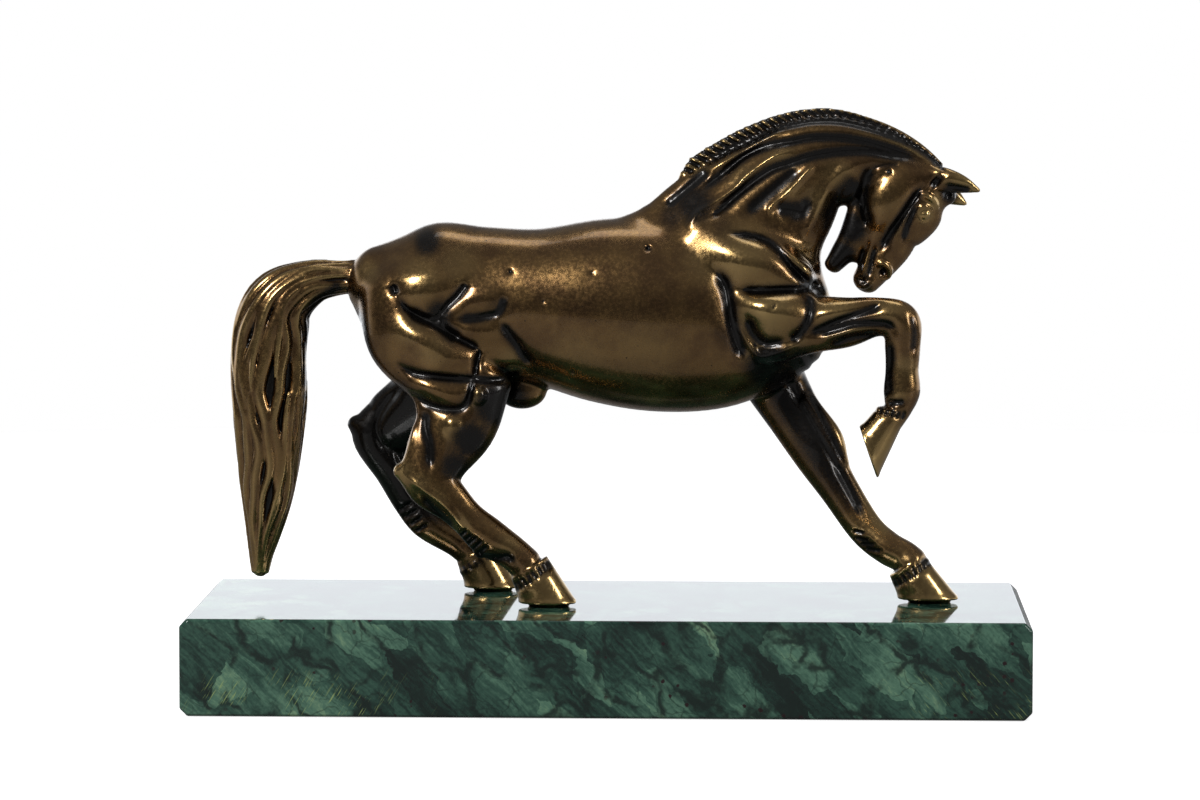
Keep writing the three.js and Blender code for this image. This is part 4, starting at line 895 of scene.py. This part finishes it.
def newGroup(name, inputs, outputs):
    group = bpy.data.node_groups.new(name, "ShaderNodeTree")
    for label, kind, value in inputs:
        socket = group.interface.new_socket(label, in_out="INPUT", socket_type="NodeSocket" + kind)
        if value is not None:
            socket.default_value = value
    for label, kind in outputs:
        group.interface.new_socket(label, in_out="OUTPUT", socket_type="NodeSocket" + kind)
    return group, group.nodes.new("NodeGroupInput").outputs, group.nodes.new("NodeGroupOutput").inputs


def use(tree, group, inputs):
    node = tree.nodes.new("ShaderNodeGroup")
    node.node_tree = group
    for key, value in inputs.items():
        if isinstance(value, bpy.types.NodeSocket):
            tree.links.new(value, node.inputs[key])
        else:
            node.inputs[key].default_value = value
    return node.outputs


# Fine uneven grain, for the casting's skin and the stone's body
grainGroup, gi, go = newGroup("fineGrain", [("Vector", "Vector", None), ("Size", "Float", 1.0), ("Sharpness", "Float", 0.5)],
                              [("Grain", "Float"), ("Cloud", "Float")])
fineNoise = add(grainGroup, "ShaderNodeTexNoise", {"Vector": gi["Vector"], "Scale": math2(grainGroup, "DIVIDE", 1.0, gi["Size"]), "Detail": 3.0, "Roughness": gi["Sharpness"]})
cloudNoise = add(grainGroup, "ShaderNodeTexNoise", {"Vector": gi["Vector"], "Scale": math2(grainGroup, "DIVIDE", 0.12, gi["Size"]), "Detail": 4.0, "Roughness": 0.6})
grainGroup.links.new(fineNoise.outputs["Fac"], go["Grain"])
grainGroup.links.new(cloudNoise.outputs["Fac"], go["Cloud"])

# Small scattered spots: pits in the casting, dark specks in the stone
specksGroup, gi, go = newGroup("scatteredSpecks", [("Vector", "Vector", None), ("Spacing", "Float", 2.0), ("Radius", "Float", 0.2), ("Share", "Float", 0.3)],
                               [("Specks", "Float")])
cellNoise = add(specksGroup, "ShaderNodeTexVoronoi", {"Vector": gi["Vector"], "Scale": math2(specksGroup, "DIVIDE", 1.0, gi["Spacing"]), "Randomness": 1.0})
picked = math2(specksGroup, "LESS_THAN", add(specksGroup, "ShaderNodeSeparateColor", {0: cellNoise.outputs["Color"]}).outputs[0], gi["Share"])
spot = math2(specksGroup, "SUBTRACT", 1.0, math2(specksGroup, "DIVIDE", cellNoise.outputs["Distance"], gi["Radius"]), True)
specksGroup.links.new(math2(specksGroup, "MULTIPLY", spot, picked), go["Specks"])

# Fine straight scratches that run one way
scratchGroup, gi, go = newGroup("fineScratches", [("Vector", "Vector", None), ("Turn", "Vector", (0.0, 0.0, 0.0)), ("Spacing", "Float", 0.5), ("Amount", "Float", 0.5)],
                                [("Scratches", "Float")])
turned = add(scratchGroup, "ShaderNodeMapping", {"Vector": gi["Vector"], "Rotation": gi["Turn"], "Scale": (18.0, 2.0, 1.0)}, vector_type="TEXTURE")
lineNoise = add(scratchGroup, "ShaderNodeTexNoise", {"Vector": turned.outputs[0], "Scale": math2(scratchGroup, "DIVIDE", 1.0, gi["Spacing"]), "Detail": 2.0, "Roughness": 0.7})
edge = math2(scratchGroup, "SUBTRACT", 0.78, math2(scratchGroup, "MULTIPLY", gi["Amount"], 0.22))
line = math2(scratchGroup, "MULTIPLY", math2(scratchGroup, "SUBTRACT", lineNoise.outputs["Fac"], edge), 14.0, True)
scratchGroup.links.new(line, go["Scratches"])


def newMaterial(name):
    material = bpy.data.materials.new(name)
    material.use_nodes = True
    tree = material.node_tree
    tree.nodes.clear()
    shader = tree.nodes.new("ShaderNodeBsdfPrincipled")
    tree.links.new(shader.outputs[0], add(tree, "ShaderNodeOutputMaterial").inputs[0])
    inMm = add(tree, "ShaderNodeVectorMath", {0: add(tree, "ShaderNodeTexCoord").outputs["Object"], "Scale": 1000.0}, operation="SCALE")
    return material, tree, shader, inMm.outputs[0]


bronze = {
    "gold": (0.50, 0.345, 0.14, 1), "brown": (0.25, 0.145, 0.055, 1), "umber": (0.155, 0.085, 0.036, 1),
    "black": (0.007, 0.006, 0.0055, 1), "rough": (0.16, 0.30),
}
material, tree, shader, mmSpace = newMaterial("patinated_bronze")
mask = {n: add(tree, "ShaderNodeAttribute", attribute_name=n).outputs["Fac"] for n in ("groove", "hollow", "hair", "wearAndHighlight", "shade", "ink")}
grain = use(tree, grainGroup, {"Vector": mmSpace, "Size": 0.9, "Sharpness": 0.65})
speckle = use(tree, grainGroup, {"Vector": mmSpace, "Size": 0.24, "Sharpness": 0.75})
pits = use(tree, specksGroup, {"Vector": mmSpace, "Spacing": 3.4, "Radius": 0.09, "Share": 0.3})
lines = use(tree, scratchGroup, {"Vector": mmSpace, "Turn": (0.0, 0.5, 0.0), "Spacing": 0.3, "Amount": 0.35})
cloud = ramp(tree, grain["Cloud"], 0.34, 0.66)
flecks = math2(tree, "SUBTRACT", speckle["Grain"], 0.5)
raised = ramp(tree, mask["groove"], -0.12, -0.45)
hairGold = math2(tree, "MULTIPLY", mask["hair"], ramp(tree, mask["groove"], -0.02, -0.42))
gold = math2(tree, "MAXIMUM", math2(tree, "MULTIPLY", mask["wearAndHighlight"], 0.8), math2(tree, "MULTIPLY", hairGold, 0.72))
gold = math2(tree, "ADD", gold, math2(tree, "MULTIPLY", raised, 0.4), True)
gold = math2(tree, "ADD", gold, math2(tree, "MULTIPLY", flecks, 0.75), True)
base = mixColour(tree, cloud, bronze["umber"], bronze["brown"])
base = mixColour(tree, gold, base, bronze["gold"])
# Darkening: dark patina in the grooves, the ink and the pits, painted shade from the shade mask, and patina with
# painted shade in the wide hollows.
sunk = ramp(tree, mask["groove"], 0.05, 0.30)
deep = ramp(tree, mask["hollow"], 0.45, 1.5)
patinaAndShade = math2(tree, "MAXIMUM", math2(tree, "MAXIMUM", sunk, math2(tree, "MULTIPLY", deep, 0.8)), mask["shade"])
patinaAndShade = math2(tree, "MAXIMUM", patinaAndShade, mask["ink"])
patinaAndShade = math2(tree, "ADD", patinaAndShade, math2(tree, "MULTIPLY", math2(tree, "MULTIPLY", flecks, patinaAndShade), 1.6), True)
patinaAndShade = math2(tree, "MAXIMUM", patinaAndShade, pits["Specks"])
base = mixColour(tree, ramp(tree, patinaAndShade, 0.06, 0.78), base, bronze["black"])
rough = ramp(tree, grain["Grain"], 0.3, 0.7, *bronze["rough"])
rough = math2(tree, "ADD", rough, math2(tree, "MULTIPLY", patinaAndShade, 0.1), True)
rough = math2(tree, "SUBTRACT", rough, math2(tree, "MULTIPLY", mask["wearAndHighlight"], 0.04), True)
skin = math2(tree, "ADD", math2(tree, "MULTIPLY", grain["Grain"], 0.5), math2(tree, "MULTIPLY", speckle["Grain"], 0.2))
skin = math2(tree, "SUBTRACT", skin, math2(tree, "MULTIPLY", pits["Specks"], 1.2))
skin = math2(tree, "SUBTRACT", skin, math2(tree, "MULTIPLY", lines["Scratches"], 0.1))
bump = add(tree, "ShaderNodeBump", {"Height": skin, "Strength": 0.2, "Distance": 0.0002})
for key, value in {"Base Color": base, "Roughness": rough, "Metallic": ramp(tree, patinaAndShade, 0.2, 1.0, 1.0, 0.7), "Normal": bump.outputs[0]}.items():
    tree.links.new(value, shader.inputs[key])
shader.inputs["Coat Weight"].default_value = 0.35
shader.inputs["Coat Roughness"].default_value = 0.08
casting.data.materials.clear()
casting.data.materials.append(material)

serpentine = {
    "black": (0.004, 0.013, 0.010, 1), "dark": (0.010, 0.034, 0.025, 1), "green": (0.030, 0.082, 0.058, 1),
    "pale": (0.085, 0.185, 0.125, 1), "cream": (0.19, 0.32, 0.19, 1), "speck": (0.014, 0.004, 0.005, 1),
    "scratch": (0.36, 0.46, 0.16, 1),
}
material, tree, shader, mmSpace = newMaterial("polished_serpentine")


def pushed(vector, scale, reach):  # wanders off its place by up to a few mm
    swirl = add(tree, "ShaderNodeTexNoise", {"Vector": vector, "Scale": scale, "Detail": 3.0, "Roughness": 0.6})
    push = add(tree, "ShaderNodeVectorMath", {0: swirl.outputs["Color"], 1: (0.5, 0.5, 0.5)}, operation="SUBTRACT")
    push = add(tree, "ShaderNodeVectorMath", {0: push.outputs[0], "Scale": reach}, operation="SCALE")
    return add(tree, "ShaderNodeVectorMath", {0: vector, 1: push.outputs[0]}).outputs[0]


where = add(tree, "ShaderNodeSeparateXYZ", {0: mmSpace}).outputs
bent = pushed(pushed(mmSpace, 0.03, 14.0), 0.22, 4.0)
chunkWay = streaked(tree, bent, 0.72, (15.0, 9.0, 6.0))
chunks = add(tree, "ShaderNodeTexVoronoi", {"Vector": chunkWay, "Scale": 1.0})
chunkTone = add(tree, "ShaderNodeSeparateColor", {0: chunks.outputs["Color"]}).outputs
patch = add(tree, "ShaderNodeTexNoise", {"Vector": streaked(tree, bent, 0.72, (26.0, 16.0, 11.0)), "Scale": 1.0, "Detail": 4.0, "Roughness": 0.6})
fibres = add(tree, "ShaderNodeTexNoise", {"Vector": streaked(tree, pushed(mmSpace, 0.12, 3.0), 0.78, (9.0, 3.0, 0.9)), "Scale": 1.0, "Detail": 4.0, "Roughness": 0.62})
grain = use(tree, grainGroup, {"Vector": mmSpace, "Size": 0.8, "Sharpness": 0.7})
tone = math2(tree, "ADD", math2(tree, "MULTIPLY", patch.outputs["Fac"], 0.62), math2(tree, "MULTIPLY", chunkTone[1], 0.22))
tone = math2(tree, "ADD", tone, math2(tree, "MULTIPLY", fibres.outputs["Fac"], 0.36))
tone = math2(tree, "ADD", tone, math2(tree, "MULTIPLY", grain["Grain"], 0.16))
tone = math2(tree, "ADD", tone, ramp(tree, where[0], -40.0, -95.0, 0.0, 0.07))
tone = math2(tree, "SUBTRACT", tone, ramp(tree, where[0], 60.0, 98.0, 0.0, 0.03))
base = mixColour(tree, ramp(tree, tone, 0.50, 0.60), serpentine["black"], serpentine["dark"])
base = mixColour(tree, ramp(tree, tone, 0.58, 0.70), base, serpentine["green"])
base = mixColour(tree, ramp(tree, tone, 0.68, 0.82), base, serpentine["pale"])
base = mixColour(tree, ramp(tree, tone, 0.80, 0.93), base, serpentine["cream"])
veins = add(tree, "ShaderNodeTexVoronoi", {"Vector": streaked(tree, bent, 0.72, (19.0, 14.0, 11.0)), "Scale": 1.0}, feature="DISTANCE_TO_EDGE")
fineVeins = add(tree, "ShaderNodeTexVoronoi", {"Vector": streaked(tree, bent, 0.6, (7.0, 6.0, 4.5)), "Scale": 1.0}, feature="DISTANCE_TO_EDGE")
vein = math2(tree, "MAXIMUM", ramp(tree, veins.outputs["Distance"], 0.085, 0.015, 0.0, 0.9), ramp(tree, fineVeins.outputs["Distance"], 0.05, 0.0, 0.0, 0.55))
vein = math2(tree, "MULTIPLY", vein, ramp(tree, grain["Cloud"], 0.36, 0.56))
base = mixColour(tree, vein, base, serpentine["black"])
clusters = ramp(tree, add(tree, "ShaderNodeTexNoise", {"Vector": mmSpace, "Scale": 0.06, "Detail": 2.0}).outputs["Fac"], 0.46, 0.6)
specks = use(tree, specksGroup, {"Vector": pushed(mmSpace, 0.9, 0.8), "Spacing": 1.9, "Radius": 0.34, "Share": 0.2})
speck = math2(tree, "MULTIPLY", ramp(tree, specks["Specks"], 0.05, 0.4), clusters)
base = mixColour(tree, speck, base, serpentine["speck"])
scratchA = use(tree, scratchGroup, {"Vector": mmSpace, "Turn": (0.0, -1.02, 0.0), "Spacing": 0.3, "Amount": 0.8})
scratchB = use(tree, scratchGroup, {"Vector": mmSpace, "Turn": (0.0, 0.86, 0.0), "Spacing": 0.3, "Amount": 0.75})
leftPart = math2(tree, "MULTIPLY", ramp(tree, where[0], -30.0, -70.0), ramp(tree, where[2], 13.0, 6.0))
rightPart = math2(tree, "MULTIPLY", ramp(tree, where[0], 62.0, 84.0), ramp(tree, where[2], 14.0, 6.0))
scratches = math2(tree, "ADD", math2(tree, "MULTIPLY", scratchA["Scratches"], leftPart), math2(tree, "MULTIPLY", scratchB["Scratches"], rightPart), True)
scratches = math2(tree, "MULTIPLY", scratches, ramp(tree, add(tree, "ShaderNodeTexNoise", {"Vector": mmSpace, "Scale": 0.14, "Detail": 1.0}).outputs["Fac"], 0.4, 0.6))
base = mixColour(tree, math2(tree, "MULTIPLY", scratches, 0.7), base, serpentine["scratch"])
tree.links.new(base, shader.inputs["Base Color"])
tree.links.new(ramp(tree, grain["Cloud"], 0.3, 0.7, 0.03, 0.075), shader.inputs["Roughness"])
dent = math2(tree, "SUBTRACT", math2(tree, "MULTIPLY", grain["Grain"], 0.03), math2(tree, "MULTIPLY", scratches, 0.3))
tree.links.new(add(tree, "ShaderNodeBump", {"Height": dent, "Strength": 0.05, "Distance": 0.0001}).outputs[0], shader.inputs["Normal"])
shader.inputs["IOR"].default_value = 1.54
plinth.data.materials.clear()
plinth.data.materials.append(material)
print("materials made")

view = {"place": (0.0384262, -1.2456278, 0.1739107), "yaw": 0.0328755, "pitch": 0.0819442, "roll": 0.0011726, "focal": 5189.56}
camera = bpy.data.objects.new("camera", bpy.data.cameras.new("camera"))
bpy.context.scene.collection.objects.link(camera)
yaw, pitch, roll = view["yaw"], view["pitch"], view["roll"]
ahead = Vector((-math.sin(yaw) * math.cos(pitch), math.cos(yaw) * math.cos(pitch), -math.sin(pitch)))
right = Vector((math.cos(yaw), math.sin(yaw), 0))
up = right.cross(ahead)
right, up = right * math.cos(roll) + up * math.sin(roll), up * math.cos(roll) - right * math.sin(roll)
camera.matrix_world = Matrix.Translation(view["place"]) @ Matrix((right, up, -ahead)).transposed().to_4x4()
camera.data.sensor_width = 36
camera.data.lens = view["focal"] * 36 / 1200
camera.data.clip_start, camera.data.clip_end = 0.05, 30
bpy.context.scene.camera = camera

studio = {
    "key": {"place": (-0.75, -0.95, 0.95), "size": (0.36, 0.36), "radiance": 34},
    "side": {"place": (1.05, -0.55, 0.5), "size": (0.2, 0.6), "radiance": 12},
    "top": {"place": (0.1, 0.25, 1.3), "size": (0.8, 0.3), "radiance": 2},
    "room": 0.1, "overhead": 0.22, "backdrop": 1.5, "floorGlow": 0.75, "floorSeen": 0.8, "floorMirrored": 0.3,
}
for name in ("key", "side", "top"):
    lamp = studio[name]
    data = bpy.data.lights.new(name, "AREA")
    data.shape = "RECTANGLE"
    data.size, data.size_y = lamp["size"]
    data.energy = lamp["radiance"] * math.pi * data.size * data.size_y
    lampObject = bpy.data.objects.new(name, data)
    lampObject.location = lamp["place"]
    lampObject.rotation_euler = (Vector((0, 0, 0.07)) - lampObject.location).to_track_quat("-Z", "Y").to_euler()
    bpy.context.scene.collection.objects.link(lampObject)
    lampObject.visible_camera = False

bm = bmesh.new()
bmesh.ops.create_circle(bm, cap_ends=True, segments=96, radius=0.75)
floorMesh = bpy.data.meshes.new("floor")
bm.to_mesh(floorMesh)
bm.free()
floor = link("floor", floorMesh)
floor.location.z = -0.0002
material = bpy.data.materials.new("white_table")
material.use_nodes = True
tree = material.node_tree
shader = tree.nodes["Principled BSDF"]
shader.inputs["Roughness"].default_value = 0.6
shader.inputs["Emission Color"].default_value = (1, 1, 1, 1)
seen = add(tree, "ShaderNodeLightPath").outputs["Is Camera Ray"]  # the mirrored table is dimmer than the table
tree.links.new(ramp(tree, seen, 0.0, 1.0, 0.0, studio["floorGlow"]), shader.inputs["Emission Strength"])
tree.links.new(ramp(tree, seen, 0.0, 1.0, studio["floorMirrored"], studio["floorSeen"]), shader.inputs["Base Color"])
floor.data.materials.append(material)

# The room is dim around the lamps, with a white backdrop behind. The camera sees white.
world = bpy.data.worlds.new("studio")
bpy.context.scene.world = world
world.use_nodes = True
tree = world.node_tree
tree.nodes.clear()
way = add(tree, "ShaderNodeSeparateXYZ", {0: add(tree, "ShaderNodeTexCoord").outputs["Generated"]})
behind = math2(tree, "MULTIPLY", ramp(tree, way.outputs[1], -0.1, 0.3), ramp(tree, way.outputs[2], 0.45, 0.2))
level = ramp(tree, way.outputs[2], 0.1, 0.8, studio["room"], studio["overhead"])
level = add(tree, "ShaderNodeMix", {0: behind, 2: level, 3: studio["backdrop"]}, data_type="FLOAT")
seen = add(tree, "ShaderNodeMix", {0: add(tree, "ShaderNodeLightPath").outputs["Is Camera Ray"], 2: level.outputs[0], 3: 1.0}, data_type="FLOAT")
tint = mixColour(tree, math2(tree, "MULTIPLY", behind, 1.0), (1, 1, 1, 1), (0.95, 0.985, 1.03, 1))
tint = mixColour(tree, add(tree, "ShaderNodeLightPath").outputs["Is Camera Ray"], tint, (1, 1, 1, 1))
background = add(tree, "ShaderNodeBackground", {0: tint, 1: seen.outputs[0]})
tree.links.new(background.outputs[0], add(tree, "ShaderNodeOutputWorld").inputs[0])
bpy.context.scene.view_settings.view_transform = "Standard"
print("studio ready")
